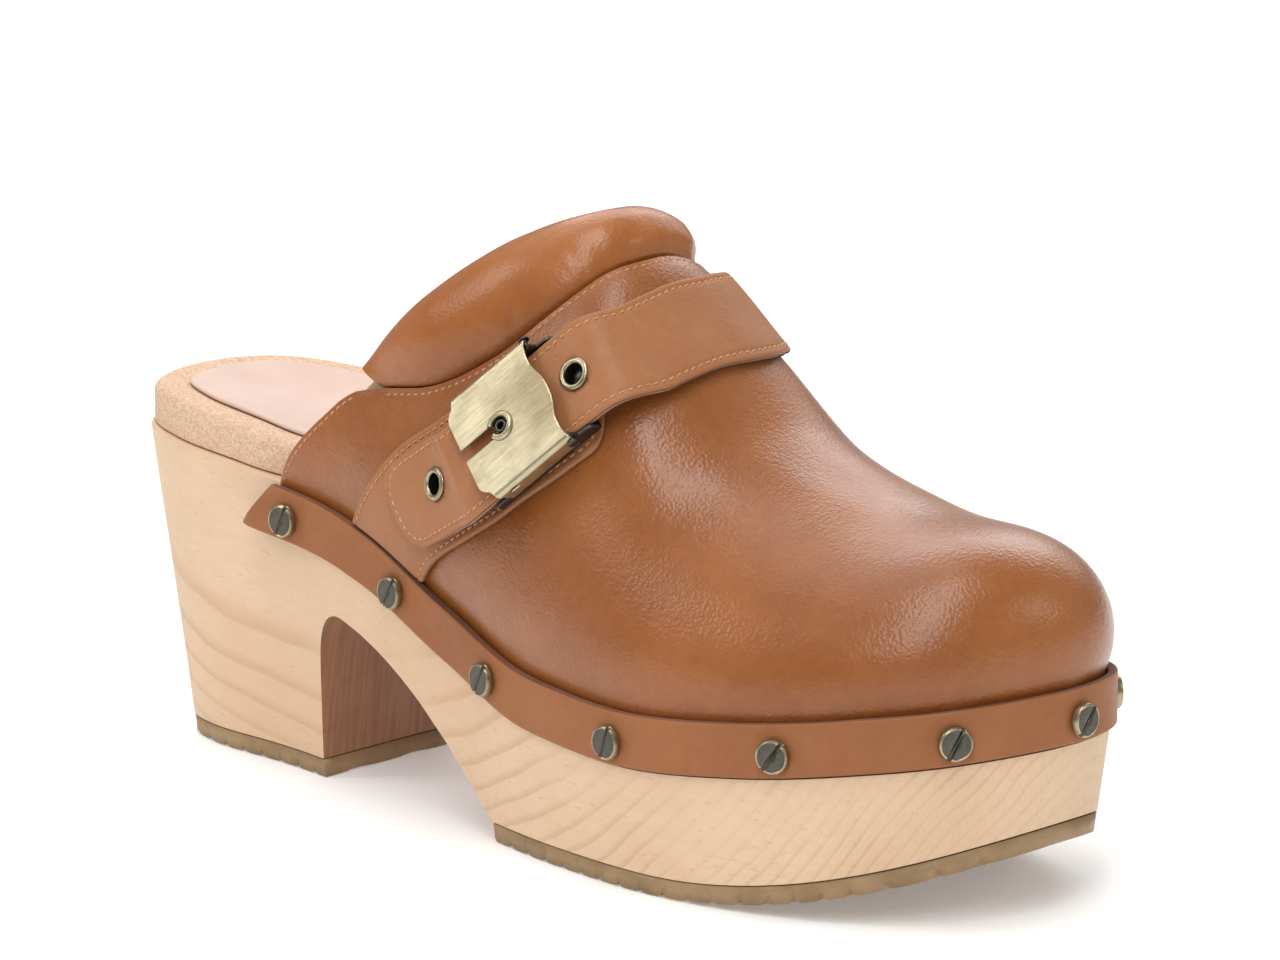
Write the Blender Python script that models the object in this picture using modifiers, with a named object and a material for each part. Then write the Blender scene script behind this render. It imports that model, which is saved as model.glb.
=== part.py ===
"""Wooden platform clog, right foot: carved wood platform and heel, cork footbed,
lined leather upper with padded collar, screwed-on leather welt, and an
adjustable instep strap closed by a snap-over plate buckle.

X runs from heel to toe, -Y is the outer side of the foot, +Z is up.
Tables are in millimetres from the back of the heel; objects are in metres.
"""
import math

import bmesh
import bpy
import numpy as np
from mathutils import Matrix, Vector

MM = 0.001
X0, Y0 = 132.49, -3.13         # centre of the clog's box, in table coordinates
GAP = 0.3                     # clearance between touching pieces
WELT_H, WELT_T = 11.8, 2.1    # leather welt band
LAYER_GAP = 0.7               # clearance between the curved layers of the upper
VAMP_T, LINING_T, FILL_T = 1.4, 0.9, 1.1
SOLE_T = 4.2                  # rubber outsole
TAPER = 0.13                  # inward lean of the wood walls
TREAD_PITCH, TREAD_DEPTH = 6.4, 1.1
PEG_R, EYELET_R = 1.6, 2.35

# plan outline: x, outer side y, inner side y
OUTLINE = [(0, 0, 0), (6, -20.5, 19.7), (22, -28.5, 29.5), (50, -31.0, 32.5), (85, -35.5, 32.5),
           (120, -40.3, 33.5), (155, -47.0, 38.0), (185, -49.7, 43.0), (212, -46.5, 44.2),
           (234, -38.8, 40.2), (250, -26.4, 30.8), (259, -9.5, 19.5), (262, 5.5, 5.5)]
WOOD_TOP = [(0, 75), (30, 72.5), (65, 68.8), (90, 63.2), (120, 51.3), (150, 42.2), (180, 40.3),
            (210, 42.5), (240, 46.5), (262, 49.5)]
CROWN = [(60, 47), (95, 66), (125, 82), (145, 87.5), (165, 73), (185, 53.5), (205, 42.8),
         (225, 36.2), (242, 33.8), (262, 33.0)]


def pchip(table):
    """Shape-preserving cubic through (x, y) pairs."""
    t = np.array(table, float)
    x, y = t[:, 0], t[:, 1]
    h, d = np.diff(x), np.diff(y) / np.diff(x)
    m = np.zeros(len(x))
    for i in range(1, len(x) - 1):
        if d[i - 1] * d[i] > 0:
            a, b = 2 * h[i] + h[i - 1], h[i] + 2 * h[i - 1]
            m[i] = (a + b) / (a / d[i - 1] + b / d[i])
    m[0], m[-1] = d[0], d[-1]

    def f(q):
        q = np.clip(np.asarray(q, float), x[0], x[-1])
        k = np.clip(np.searchsorted(x, q) - 1, 0, len(h) - 1)
        s = (q - x[k]) / h[k]
        return ((1 + 2 * s) * (1 - s) ** 2 * y[k] + s * (1 - s) ** 2 * h[k] * m[k]
                + s * s * (3 - 2 * s) * y[k + 1] - s * s * (1 - s) * h[k] * m[k + 1])
    return f


def smooth(a, b, q):
    t = np.clip((np.asarray(q, float) - a) / (b - a), 0, 1)
    return t * t * (3 - 2 * t)


def closed_spline(points, n=24):
    """Centripetal spline through a closed loop of plan points."""
    p = np.array(points, float)
    m, out = len(p), []
    for i in range(m):
        a, b, c, d = p[i - 1], p[i], p[(i + 1) % m], p[(i + 2) % m]
        t0 = 0.0
        t1 = t0 + np.linalg.norm(b - a) ** 0.5
        t2 = t1 + np.linalg.norm(c - b) ** 0.5
        t3 = t2 + np.linalg.norm(d - c) ** 0.5
        for t in np.linspace(t1, t2, n, endpoint=False):
            a1 = ((t1 - t) * a + (t - t0) * b) / (t1 - t0)
            a2 = ((t2 - t) * b + (t - t1) * c) / (t2 - t1)
            a3 = ((t3 - t) * c + (t - t2) * d) / (t3 - t2)
            b1 = ((t2 - t) * a1 + (t - t0) * a2) / (t2 - t0)
            b2 = ((t3 - t) * a2 + (t - t1) * a3) / (t3 - t1)
            out.append(((t2 - t) * b1 + (t - t1) * b2) / (t2 - t1))
    return np.array(out)


def plan_ring():
    outer = [(x, a) for x, a, b in OUTLINE]
    inner = [(x, b) for x, a, b in OUTLINE[-2:0:-1]]
    r = closed_spline(outer + inner)
    t = np.roll(r, -1, 0) - np.roll(r, 1, 0)
    n = np.stack([t[:, 1], -t[:, 0]], 1)
    return r, n / np.linalg.norm(n, axis=1)[:, None]


RING, RING_N = plan_ring()
TIP = int(np.argmax(RING[:, 0]))
wood_top = pchip(WOOD_TOP)
crown_table = pchip(CROWN)


def crown(x):
    nose = np.clip((x - 230) / 32.0, 0, 1)
    return crown_table(x) * (1 - nose ** 2.6) ** (1 / 2.2)


def rebate(x):
    return 3.5 * smooth(50, 84, x)


def spring(x):
    return 16.7 * (np.clip(np.asarray(x, float) - 185, 0, None) / 77) ** 2


def half_line(side, inset):
    """Dense (x, y) line of one side of the outline, moved in by inset(x)."""
    r = RING - RING_N * np.asarray(inset(RING[:, 0]))[:, None]
    part = r[:TIP + 1] if side < 0 else np.concatenate([r[TIP:], r[:1]])[::-1]
    return part[np.argsort(part[:, 0], kind="stable")]


def columns(inset, n=34):
    """Matched outer/inner side points of the inset outline, heel to toe."""
    a, b = half_line(-1, inset), half_line(1, inset)
    t = np.linspace(0, 1, n + 1)
    u = 0.35 * t + 0.65 * (0.5 - 0.5 * np.cos(np.pi * t))
    x = a[0, 0] + u * (a[-1, 0] - a[0, 0])
    return x, np.interp(x, a[:, 0], a[:, 1]), np.interp(x, b[:, 0], b[:, 1])


def ring_at(inset, height, n=34):
    x, ya, yb = columns(inset, n)
    xs = np.concatenate([x, x[-2:0:-1]])
    ys = np.concatenate([ya, yb[-2:0:-1]])
    return np.stack([xs, ys, height(xs)], 1)


# ---------------------------------------------------------------- objects

def material(name, colour, rough, metal=0.0):
    m = bpy.data.materials.new(name)
    m.use_nodes = True
    b = m.node_tree.nodes["Principled BSDF"]
    b.inputs["Base Color"].default_value = (*colour, 1)
    b.inputs["Roughness"].default_value = rough
    b.inputs["Metallic"].default_value = metal
    m.diffuse_color = (*colour, 1)
    return m


def make_object(name, verts, faces, mat, scene_coll, frame=None, angle=40):
    """Mesh object from millimetre vertices; frame places a local-space mesh."""
    v = np.asarray(verts, float)
    if frame is None:
        v = v - np.array([X0, Y0, 0])
    me = bpy.data.meshes.new(name)
    me.from_pydata((v * MM).tolist(), [], faces)
    bm = bmesh.new()
    bm.from_mesh(me)
    bmesh.ops.remove_doubles(bm, verts=bm.verts, dist=0.00002)
    bmesh.ops.recalc_face_normals(bm, faces=bm.faces)
    bm.to_mesh(me)
    bm.free()
    me.shade_smooth()
    me.set_sharp_from_angle(angle=math.radians(angle))
    ob = bpy.data.objects.new(name, me)
    if mat:
        me.materials.append(mat)
    scene_coll.objects.link(ob)
    if frame is not None:
        ob.matrix_world = frame
    return ob


def loft(rings, closed=True, caps="grid"):
    """Faces joining equal rings; grid caps pair the two sides of the outline."""
    rings = [np.asarray(r, float) for r in rings]
    n, m = len(rings[0]), len(rings)
    v = np.concatenate(rings)
    f = []
    for j in range(m - 1):
        for i in range(n if closed else n - 1):
            k = (i + 1) % n
            f.append((j * n + i, j * n + k, (j + 1) * n + k, (j + 1) * n + i))
    for base in (0, (m - 1) * n) if caps else ():
        if caps == "flat":
            f.append(tuple(base + i for i in range(n)))
            continue
        h = n // 2
        for i in range(h):
            q = [base + i, base + i + 1, base + (n - i - 1) % n, base + (n - i) % n]
            f.append(tuple(dict.fromkeys(q)))
    return v, f


def prism(name, pts, coll, y=90):
    """Side-view outline (x, z) carried across the full width."""
    n = len(pts)
    v = [(x, -y, z) for x, z in pts] + [(x, y, z) for x, z in pts]
    f = [tuple(range(n)), tuple(range(2 * n - 1, n - 1, -1))]
    f += [(i, (i + 1) % n, n + (i + 1) % n, n + i) for i in range(n)]
    return as_cutter(make_object(name, v, f, None, coll))


def as_cutter(ob):
    ob.hide_render = True
    ob.display_type = "WIRE"
    return ob


def boolean(ob, cutter, op="DIFFERENCE"):
    m = ob.modifiers.new(cutter.name, "BOOLEAN")
    m.operation, m.solver, m.object = op, "EXACT", cutter


def solidify(ob, thickness):
    m = ob.modifiers.new("thickness", "SOLIDIFY")
    m.thickness, m.offset, m.use_even_offset = thickness * MM, -1, True
    m.use_quality_normals = True


def lathe(profile, steps):
    """Closed solid of revolution about local Z from (r, z) pairs."""
    v, f = [], []
    n = len(profile)
    for k in range(steps):
        a = 2 * math.pi * k / steps
        v += [(r * math.cos(a), r * math.sin(a), z) for r, z in profile]
    for k in range(steps):
        q = (k + 1) % steps
        for i in range(n - 1):
            f.append((k * n + i, q * n + i, q * n + i + 1, k * n + i + 1))
        if profile[0][0] > 0:
            f.append((k * n + n - 1, q * n + n - 1, q * n, k * n))
    return v, f


# ---------------------------------------------------------------- wood and soles

def wall_inset(x):
    return 1.5 - 0.9 * smooth(50, 84, x)


def wood_body(levels):
    rings = []
    for inset, height in levels:
        rings.append(ring_at(inset, height))
    return loft(rings)


def slot_profile():
    """Underside: heel seat, breast, rounded arch, ramp and rocking forefoot."""
    seat = SOLE_T + GAP
    pts = [(-20, seat), (66.0, seat), (68.0, 20), (69.6, 31), (71.2, 36.3), (74.2, 40), (77.4, 41.1),
           (83, 39.8), (91.5, 36.4), (99.5, 32), (106.5, 27.3), (112, 22.8), (117, 18.6),
           (122, 13.6), (127, 8.6), (131.5, seat)]
    pts += [(x, seat + float(spring(x))) for x in (185, 200, 215, 230, 245, 258, 275)]
    return pts


def build_wood(coll, cut, mat):
    levels = [(lambda x: wall_inset(x) + TAPER * (wood_top(x) - 12 + 2), lambda x: 0 * x - 2),
              (wall_inset, lambda x: wood_top(x) - 12.2),
              (lambda x: np.maximum(wall_inset(x) - 0.02, rebate(x)) * smooth(50, 62, x)
               + (wall_inset(x) - 0.02) * (1 - smooth(50, 62, x)), lambda x: wood_top(x) - 12.05),
              (lambda x: rebate(x), lambda x: wood_top(x))]
    v, f = wood_body(levels)
    ob = make_object("wood_platform", v, f, mat, coll)
    under = slot_profile() + [(275, -20), (-20, -20)]
    boolean(ob, prism("cut_underside", under, cut))
    return ob


def tread_line(x0, x1, rise):
    pts, x = [], x0
    while x + TREAD_PITCH < x1:
        z = lambda q: float(rise(q))
        a, b = x + TREAD_PITCH * 0.62, x + TREAD_PITCH
        pts += [(x, z(x)), (a, z(a)), (a + 0.7, z(a) + TREAD_DEPTH), (b - 0.7, z(b) + TREAD_DEPTH)]
        x = b
    return pts + [(x, float(rise(x))), (x1, float(rise(x1)))]


def build_outsoles(coll, cut, mat):
    low = lambda x: wall_inset(x) + TAPER * (wood_top(x) - 12 + 3) + 0.1
    high = lambda x: wall_inset(x) + 0.1
    for name, x0, x1, rise, extra in (("heel_outsole", -6, 66, lambda x: 0, []),
                                      ("forefoot_outsole", 131.8, 270, spring,
                                       [(258, 0), (245, 0), (230, 0), (215, 0), (200, 0), (185, 0)])):
        v, f = loft([ring_at(low, lambda x: 0 * x - 3), ring_at(high, lambda x: wood_top(x) - 12.2)])
        ob = make_object(name, v, f, mat, coll, angle=30)
        top = [(x1, SOLE_T + float(rise(x1)))]
        top += [(x, SOLE_T + float(rise(x))) for x, _ in extra] + [(x0, SOLE_T)]
        boolean(ob, prism("cut_" + name, tread_line(x0, x1, rise) + top, cut), "INTERSECT")


# ---------------------------------------------------------------- footbed

def cork_inset(x):
    return 0.9 + (rebate(x) + 3.6 - 0.9) * smooth(48, 64, x)


def footbed(x, d):
    """Height of the cork surface at distance d in from its edge."""
    rim = pchip([(0, 9.8), (30, 9.4), (60, 8.2), (90, 6.0), (130, 4.6), (262, 4.2)])(x)
    dish = pchip([(0, 3.2), (60, 3.0), (110, 1.0), (262, 0.6)])(x)
    edge = 2.4 * (1 - np.sqrt(np.clip(1 - (1 - np.clip(d / 2.6, 0, 1)) ** 2, 0, 1)))
    return wood_top(x) + rim - edge - dish * smooth(3, 20, d)


def build_footbed(coll, cork, leather):
    def at(d, extra=0.0):
        return lambda x: footbed(x, d) + extra

    def inset(d):
        return lambda x: cork_inset(x) + d
    rings = [ring_at(inset(0.6), lambda x: wood_top(x) + GAP),
             ring_at(inset(0.0), lambda x: wood_top(x) + GAP + 0.6)]
    rings += [ring_at(inset(d), at(d)) for d in (0, 0.7, 1.6, 3, 7, 12, 20)]
    v, f = loft(rings)
    make_object("cork_footbed", v, f, cork, coll)
    ds = (20, 14, 9.2, 8.4)
    rings = [ring_at(inset(d), at(d, GAP)) for d in ds]
    rings += [ring_at(inset(8.2), at(8.4, GAP + 0.8)), ring_at(inset(9.0), at(9, GAP + 1.2))]
    rings += [ring_at(inset(d), at(d, GAP + 1.2)) for d in (14, 20)]
    v, f = loft(rings)
    make_object("sock_liner", v, f, leather, coll)


# ---------------------------------------------------------------- upper surface

def side_table(side):
    keep = np.arange(len(RING))[:TIP + 1] if side < 0 else np.arange(TIP, len(RING))
    keep = keep[RING[keep, 0] > 15]
    o = keep[np.argsort(RING[keep, 0], kind="stable")]
    return RING[o, 0], RING[o, 1], RING_N[o]


SIDES = {-1: side_table(-1), 1: side_table(1)}


def base_width(x, side):
    rx, ry, rn = SIDES[side]
    inset = rebate(x) - GAP - VAMP_T
    nx, ny = np.interp(x, rx, rn[:, 0]), np.interp(x, rx, rn[:, 1])
    return np.interp(x, rx, ry), nx, ny, inset


def skin_point(x, th):
    """Outer face of the upper at station x and angle th (0 outer side, pi inner side)."""
    ya, nax, nay, inset = base_width(x, -1)
    yb, nbx, nby, _ = base_width(x, 1)
    c, s = np.cos(th), np.clip(np.sin(th), 0, 1)
    yc, w = (ya + yb) / 2, (yb - ya) / 2
    h = crown(x) * s ** (2 / 2.09)
    y = yc - w * np.sign(c) * np.abs(c) ** (2 / 2.2) + (1.5 + (x - 160) / 60) * s * np.clip(w / 40, 0, 1)
    t = np.clip(h / 46, 0, 1)
    push = 2.5 * 6.75 * t * (1 - t) ** 2 - inset * (1 - smooth(0, 60, h))
    k = (1 - c) / 2
    return np.stack([x + push * (nax * (1 - k) + nbx * k), y + push * (nay * (1 - k) + nby * k),
                     wood_top(x) + h], -1)


def skin(x, th, off=0.0):
    """Upper surface moved out along its normal by off."""
    x, th = np.broadcast_arrays(np.asarray(x, float), np.asarray(th, float))
    xi, ti = np.clip(x, 40, 261.2), np.clip(th, 0.02, np.pi - 0.02)
    dx = skin_point(xi + 0.5, ti) - skin_point(xi - 0.5, ti)
    dt = skin_point(xi, ti + 0.01) - skin_point(xi, ti - 0.01)
    n = np.cross(dx, dt)
    n /= np.linalg.norm(n, axis=-1)[..., None]
    flip = smooth(261.2, 262.0, x)[..., None]
    n = n * (1 - flip) + np.array([1.0, 0, 0]) * flip
    n = n / np.linalg.norm(n, axis=-1)[..., None]
    return skin_point(x, th) + n * np.asarray(off)[..., None]


DEG = math.pi / 180
vamp_edge = pchip([(0, 61), (9, 66), (21, 76), (28, 84.5), (30.2, 93), (34, 107.5), (49.5, 132), (70, 145),
                   (88, 149), (103, 149), (120, 141), (140.5, 120.5), (146, 111.5), (150, 102),
                   (152.5, 88.5), (160, 77), (171, 67), (180, 62)])
fill_edge = pchip([(0, 66), (20, 84), (28, 100), (34.5, 123), (51, 143), (66, 150.5), (82, 154.5), (98, 155.5),
                   (114, 151), (131, 142), (145, 127), (152, 106), (160, 86), (180, 68)])
rim_edge = pchip([(0, 61), (9, 66), (21, 76), (34, 86.5), (45, 96), (60, 110), (75, 124), (90, 134),
                  (103, 134.5), (116, 128), (130, 116), (145, 98), (160, 80), (171, 69), (180, 62)])


ARCS = np.array([0, 10, 20, 28, 30.2, 34, 41, 49.5, 58, 64.5, 71, 79, 88, 95.5, 103, 111, 120, 131, 140.5, 146,
                 150, 152.5, 160, 170, 180]) * DEG


def hood(x_edge, n_len, off, margin=(), x_end=262.0):
    """Open sheet over the foot from a rear edge to the toe, with lasting margin."""
    th, n_arc = ARCS, len(ARCS) - 1
    u = 1 - (1 - np.linspace(0, 1, n_len + 1)) ** 1.35
    e = x_edge(th / DEG)
    x = e[None] + u[:, None] * (x_end - e[None])
    grid = skin(x, np.broadcast_to(th, x.shape), off * np.ones_like(x))
    rows = [grid.reshape(-1, 3)]
    n = n_arc + 1
    f = [(i * n + j, i * n + j + 1, (i + 1) * n + j + 1, (i + 1) * n + j)
         for i in range(n_len) for j in range(n_arc)]
    edge = [i * n for i in range(n_len + 1)] + [i * n + n_arc for i in range(n_len, -1, -1)]
    start, last = n * (n_len + 1), edge
    for d in margin:
        low = rows[0][edge] - np.array([0, 0, d])
        rows.append(low)
        cur = list(range(start, start + len(edge)))
        f += [(last[k], last[k + 1], cur[k + 1], cur[k]) for k in range(len(edge) - 1)]
        last, start = cur, start + len(edge)
    return np.concatenate(rows), f


def outward_sheet(name, v, f, mat, coll, thick):
    ob = make_object(name, v, f, mat, coll, angle=60)
    me = ob.data
    top = max(me.polygons, key=lambda p: p.center.z)
    if top.normal.z < 0:
        me.flip_normals()
    solidify(ob, thick)
    return ob


def build_upper(coll, mats):
    v, f = hood(vamp_edge, 26, 0.0, (3, 9.2))
    outward_sheet("vamp", v, f, mats["leather"], coll, VAMP_T)
    v, f = hood(fill_edge, 16, -VAMP_T - LAYER_GAP, (), 206)
    outward_sheet("vamp_interlining", v, f, mats["cloth"], coll, FILL_T)
    v, f = hood(lambda t: 0 * t + 206.6, 12, -VAMP_T - LAYER_GAP)
    outward_sheet("toe_puff", v, f, mats["cloth"], coll, FILL_T)
    v, f = hood(lambda t: rim_edge(t) + 1.0, 20, -VAMP_T - FILL_T - 2 * LAYER_GAP)
    outward_sheet("vamp_lining", v, f, mats["lining"], coll, LINING_T)


def slab(lower, upper):
    """Closed solid between two equal point grids (rows, columns, 3)."""
    r, c = lower.shape[:2]
    v = np.concatenate([lower.reshape(-1, 3), upper.reshape(-1, 3)])
    k, f = r * c, []
    for i in range(r - 1):
        for j in range(c - 1):
            a, b, d, e = i * c + j, i * c + j + 1, (i + 1) * c + j + 1, (i + 1) * c + j
            f += [(a, b, d, e), (k + e, k + d, k + b, k + a)]
    rim = [j for j in range(c)] + [i * c + c - 1 for i in range(1, r)]
    rim += [(r - 1) * c + j for j in range(c - 2, -1, -1)] + [i * c for i in range(r - 2, 0, -1)]
    f += [(rim[i], k + rim[i], k + rim[(i + 1) % len(rim)], rim[(i + 1) % len(rim)])
          for i in range(len(rim))]
    return v, f


# ---------------------------------------------------------------- padded collar

# across-table rows: k, x, angle along the rim and along the vamp seam
COLLAR_RIM = [(0, 86, 33.5), (0.1, 93, 41.5), (0.25, 109, 59), (0.4, 125, 76), (0.5, 133.5, 89),
              (0.6, 134.5, 103), (0.72, 126, 119), (0.86, 109, 136), (1, 96, 146.5)]
COLLAR_SEAM = [(0, 93, 30.2), (0.1, 107.5, 34), (0.25, 131.7, 49.5), (0.4, 144.4, 70), (0.5, 148.5, 88),
               (0.6, 148.6, 103), (0.72, 140.8, 120), (0.86, 121, 139.5), (1, 102, 150)]


def collar_line(k):
    r = [pchip([(a, q[i]) for a, *q in COLLAR_RIM])(k) for i in (0, 1)]
    s = [pchip([(a, q[i]) for a, *q in COLLAR_SEAM])(k) for i in (0, 1)]
    return r[0], r[1] * DEG, s[0], s[1] * DEG


def collar_sections(depth, n=24, closing=False):
    """Roll section offset inwards by depth, carried along the mouth."""
    out = []
    trim = 0.08 if closing else 0.0
    for k in np.linspace(trim, 1 - trim, n + 1):
        rx, rt, sx, st = collar_line(k)
        a, b = skin(rx, rt, 0.0), skin(sx, st, 0.0)
        w = np.linalg.norm(b - a)
        g = 0.22 + 0.78 * float(smooth(-0.02, 0.2, k) * (1 - smooth(0.8, 1.02, k)))
        base = [(0.2 * w, -2.9), (0.05 * w, -2.7), (-0.05 * w, -1.6), (-0.08 * w, 0.9 * g),
                (-0.03 * w, 3.7 * g), (0.11 * w, 6.0 * g), (0.32 * w, 7.0 * g), (0.54 * w, 6.4 * g),
                (0.74 * w, 4.3 * g), (0.89 * w, 1.7 * g), (w - 2.0, -0.3), (w - 1.7, -2.15), (w + 3, -2.15)]
        p = np.array(base)
        if depth:
            t = np.gradient(p, axis=0)
            t[0], t[-1] = p[1] - p[0], p[-1] - p[-2]
            nrm = np.stack([t[:, 1], -t[:, 0]], 1)
            nrm /= np.linalg.norm(nrm, axis=1)[:, None]
            p = p + nrm * depth
        if closing:
            p = p[3:10]
            p = np.concatenate([p, [(p[-1, 0] - 0.8, -0.9), (p[0, 0] + 1.0, -0.9)]])
        q = p[:, 0] / w
        out.append(skin(rx + (sx - rx) * q, rt + (st - rt) * q, p[:, 1]))
    return out


def build_collar(coll, mats):
    outer, inner = collar_sections(0), collar_sections(1.1)
    v, f = loft([np.concatenate([a, b[::-1]]) for a, b in zip(outer, inner)], caps="flat")
    make_object("collar_cover", v, f, mats["leather"], coll, angle=50)
    core = collar_sections(1.7, 24, True)
    v, f = loft(core, caps="flat")
    make_object("collar_padding", v, f, mats["foam"], coll, angle=50)


# ---------------------------------------------------------------- strap and tab

PEG_AT = (143.5, 34.0)
FRAME_N = Vector((0.04, -0.91, 0.41)).normalized()
STRAP_DIR = Vector((0.675, 0.328, 0.661))
FRAME_U = (STRAP_DIR - FRAME_N * STRAP_DIR.dot(FRAME_N)).normalized()
FRAME_W = FRAME_N.cross(FRAME_U)
FRAME_LIFT = 3.35             # base plate above the upper surface at the peg
FRAME_O = skin(PEG_AT[0], PEG_AT[1] * DEG, FRAME_LIFT)
BASE_T, BACK_T, STRAP_T, PLY_GAP = 0.7, 0.7, 1.2, 0.5
STRAP_Z = BASE_T + GAP        # strap height over the base plate's underside
STRAP_TOP = BACK_T + PLY_GAP + STRAP_T
PEG_V, STRAP_W = 46.0, 23.4   # peg's distance from the strap tip, strap width in the buckle

# distance along the strap, upper edge (x, angle), lower edge (x, angle)
STRAP = [(0, 100.7, 15, 114.7, 6.9), (18.5, 116.0, 25, 131.0, 15), (32, 126.1, 30.4, 143.6, 21.4),
         (46, 135.2, 39.1, 152.1, 30.6), (64.5, 146.5, 52.1, 162, 46.2), (81, 153.7, 66.8, 169.9, 66.8),
         (92.5, 155.6, 79.3, 171.3, 80.3), (105, 155.9, 91.5, 171.6, 93), (113.5, 154.8, 100.8, 170.8, 102),
         (134, 147, 122, 164.2, 121), (152, 136.5, 138, 153.8, 135.5), (169, 124, 152, 141, 149),
         (189, 110, 166, 127, 163), (204, 101, 178.3, 117.5, 178.3)]
TAB = [(0, 87, 1.2, 112, 1.2), (9, 94.1, 10.3, 117.6, 6.2), (22, 103.3, 20.8, 129.1, 13.3),
       (36.5, 115, 29.6, 141.7, 21), (52.5, 128.9, 39.7, 154, 30.6), (67.5, 141.9, 50.1, 162.8, 43),
       (74, 146.6, 55.6, 165.5, 48.8)]
HOLES = [("strap_eyelet_end", 18.5), ("strap_eyelet_peg", PEG_V), ("strap_eyelet_upper", 65.6)]
RISE = pchip([(0, 2.6), (18.5, 4.6), (32, 7.2), (46, 4.7), (64.5, 4.5), (81, 1.9), (92.5, 0.9), (105, 0.5),
              (204, 0.5)])


def band(table, n_len, n_wid, ends, inset=0.0):
    """Distances along, shares across, stations and angles over a band with rounded ends."""
    cols = [pchip([(r[0], r[i]) for r in table]) for i in range(1, 5)]
    w = np.linspace(inset / 12, 1 - inset / 12, n_wid + 1)
    bow = 1 - np.sqrt(np.clip(1 - np.abs(2 * w - 1) ** 2.6, 0, 1))
    end = table[-1][0]
    v = np.linspace(inset, end - inset, n_len + 1)[:, None] + 0 * w
    v = v + ends[0] * bow * np.clip(1 - v / 26, 0, 1) - ends[1] * bow * np.clip(1 - (end - v) / 26, 0, 1)
    x = cols[0](v) * (1 - w) + cols[2](v) * w
    th = (cols[1](v) * (1 - w) + cols[3](v) * w) * DEG
    return v, np.broadcast_to(w, v.shape), x, th


def strap_point(v, w, x, th, up):
    """Point up above the strap's underside: it follows the foot, and is flat in the buckle."""
    p = skin(x, th, RISE(v) + up)
    k = smooth(22, 33, v) * (1 - smooth(64, 82, v))
    flat = (FRAME_O + np.multiply.outer(v - PEG_V, np.array(FRAME_U))
            + np.multiply.outer((0.5 - w) * STRAP_W, np.array(FRAME_W)) + np.array(FRAME_N) * (STRAP_Z + up))
    return p + k[..., None] * (flat - p)


def build_strap(coll, cut, mats):
    b = band(STRAP, 42, 5, (8, 0))
    vv, ff = slab(strap_point(*b, BACK_T + PLY_GAP), strap_point(*b, STRAP_TOP))
    strap = make_object("strap", vv, ff, mats["leather"], coll)
    b = band(STRAP, 42, 5, (8, 0), 0.3)
    vv, ff = slab(strap_point(*b, 0.0), strap_point(*b, BACK_T))
    back = make_object("strap_backing", vv, ff, mats["lining"], coll)
    for name, d in HOLES:
        frame = strap_frame(d)
        bv, bf = lathe([(0, -6), (EYELET_R + 0.8, -6), (EYELET_R + 0.8, 5), (0, 5)], 18)
        hole = as_cutter(make_object("cut_" + name, bv, bf, None, cut, frame))
        boolean(strap, hole)
        boolean(back, hole)
        r, t = EYELET_R, STRAP_TOP
        prof = [(r, -t + 0.1), (r, 0.7), (r + 0.3, 1.05), (r + 0.9, 1.05), (r + 1.35, 0.85),
                (r + 1.35, 0.65), (r + 0.5, 0.65), (r + 0.5, -t + 0.1)]
        bv, bf = lathe(prof, 18)
        make_object(name, bv, bf, mats["brass"], coll, frame)


def strap_frame(d):
    """Local frame on the strap's outer face at distance d from its tip."""
    cols = [pchip([(r[0], r[i]) for r in STRAP]) for i in range(1, 5)]

    def at(q, w):
        q, w = np.float64(q), np.float64(w)
        x = cols[0](q) * (1 - w) + cols[2](q) * w
        th = (cols[1](q) * (1 - w) + cols[3](q) * w) * DEG
        return strap_point(q, w, x, th, STRAP_TOP)
    p = at(d, 0.5)
    u = Vector(at(d + 2, 0.5) - at(d - 2, 0.5)).normalized()
    w = Vector(at(d, 0.4) - at(d, 0.6)).normalized()
    n = u.cross(w).normalized()
    if n.y > 0:
        n.negate()
    w = n.cross(u).normalized()
    return frame_matrix(p, u, w, n)


def frame_matrix(p, u, w, n):
    m = Matrix.Identity(4)
    for i, a in enumerate((u, w, n)):
        for j in range(3):
            m[j][i] = a[j]
    for j, c in enumerate((X0, Y0, 0)):
        m[j][3] = (p[j] - c) * MM
    return m


def build_tab(coll, mats):
    _, _, x, th = band(TAB, 20, 6, (0, 9))
    lo, hi = skin(x, th, 0.5 + 0 * x), skin(x, th, 1.8 + 0 * x)
    vv, ff = slab(lo, hi)
    return make_object("buckle_tab", vv, ff, mats["leather"], coll)


# ---------------------------------------------------------------- buckle

HINGE_U, HINGE_Z = 12.9, 4.9
RIVET_U = 9.5
PLATE_Z0, PLATE_Z1 = 5.9, 6.7
RAIL = (12.1, 12.9)
FLANGE = (13.3, 14.1)
SLOT_W = 1.7                  # half width of the cover's slot


def buckle_frame():
    return frame_matrix(FRAME_O, FRAME_U, FRAME_W, FRAME_N)


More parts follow.
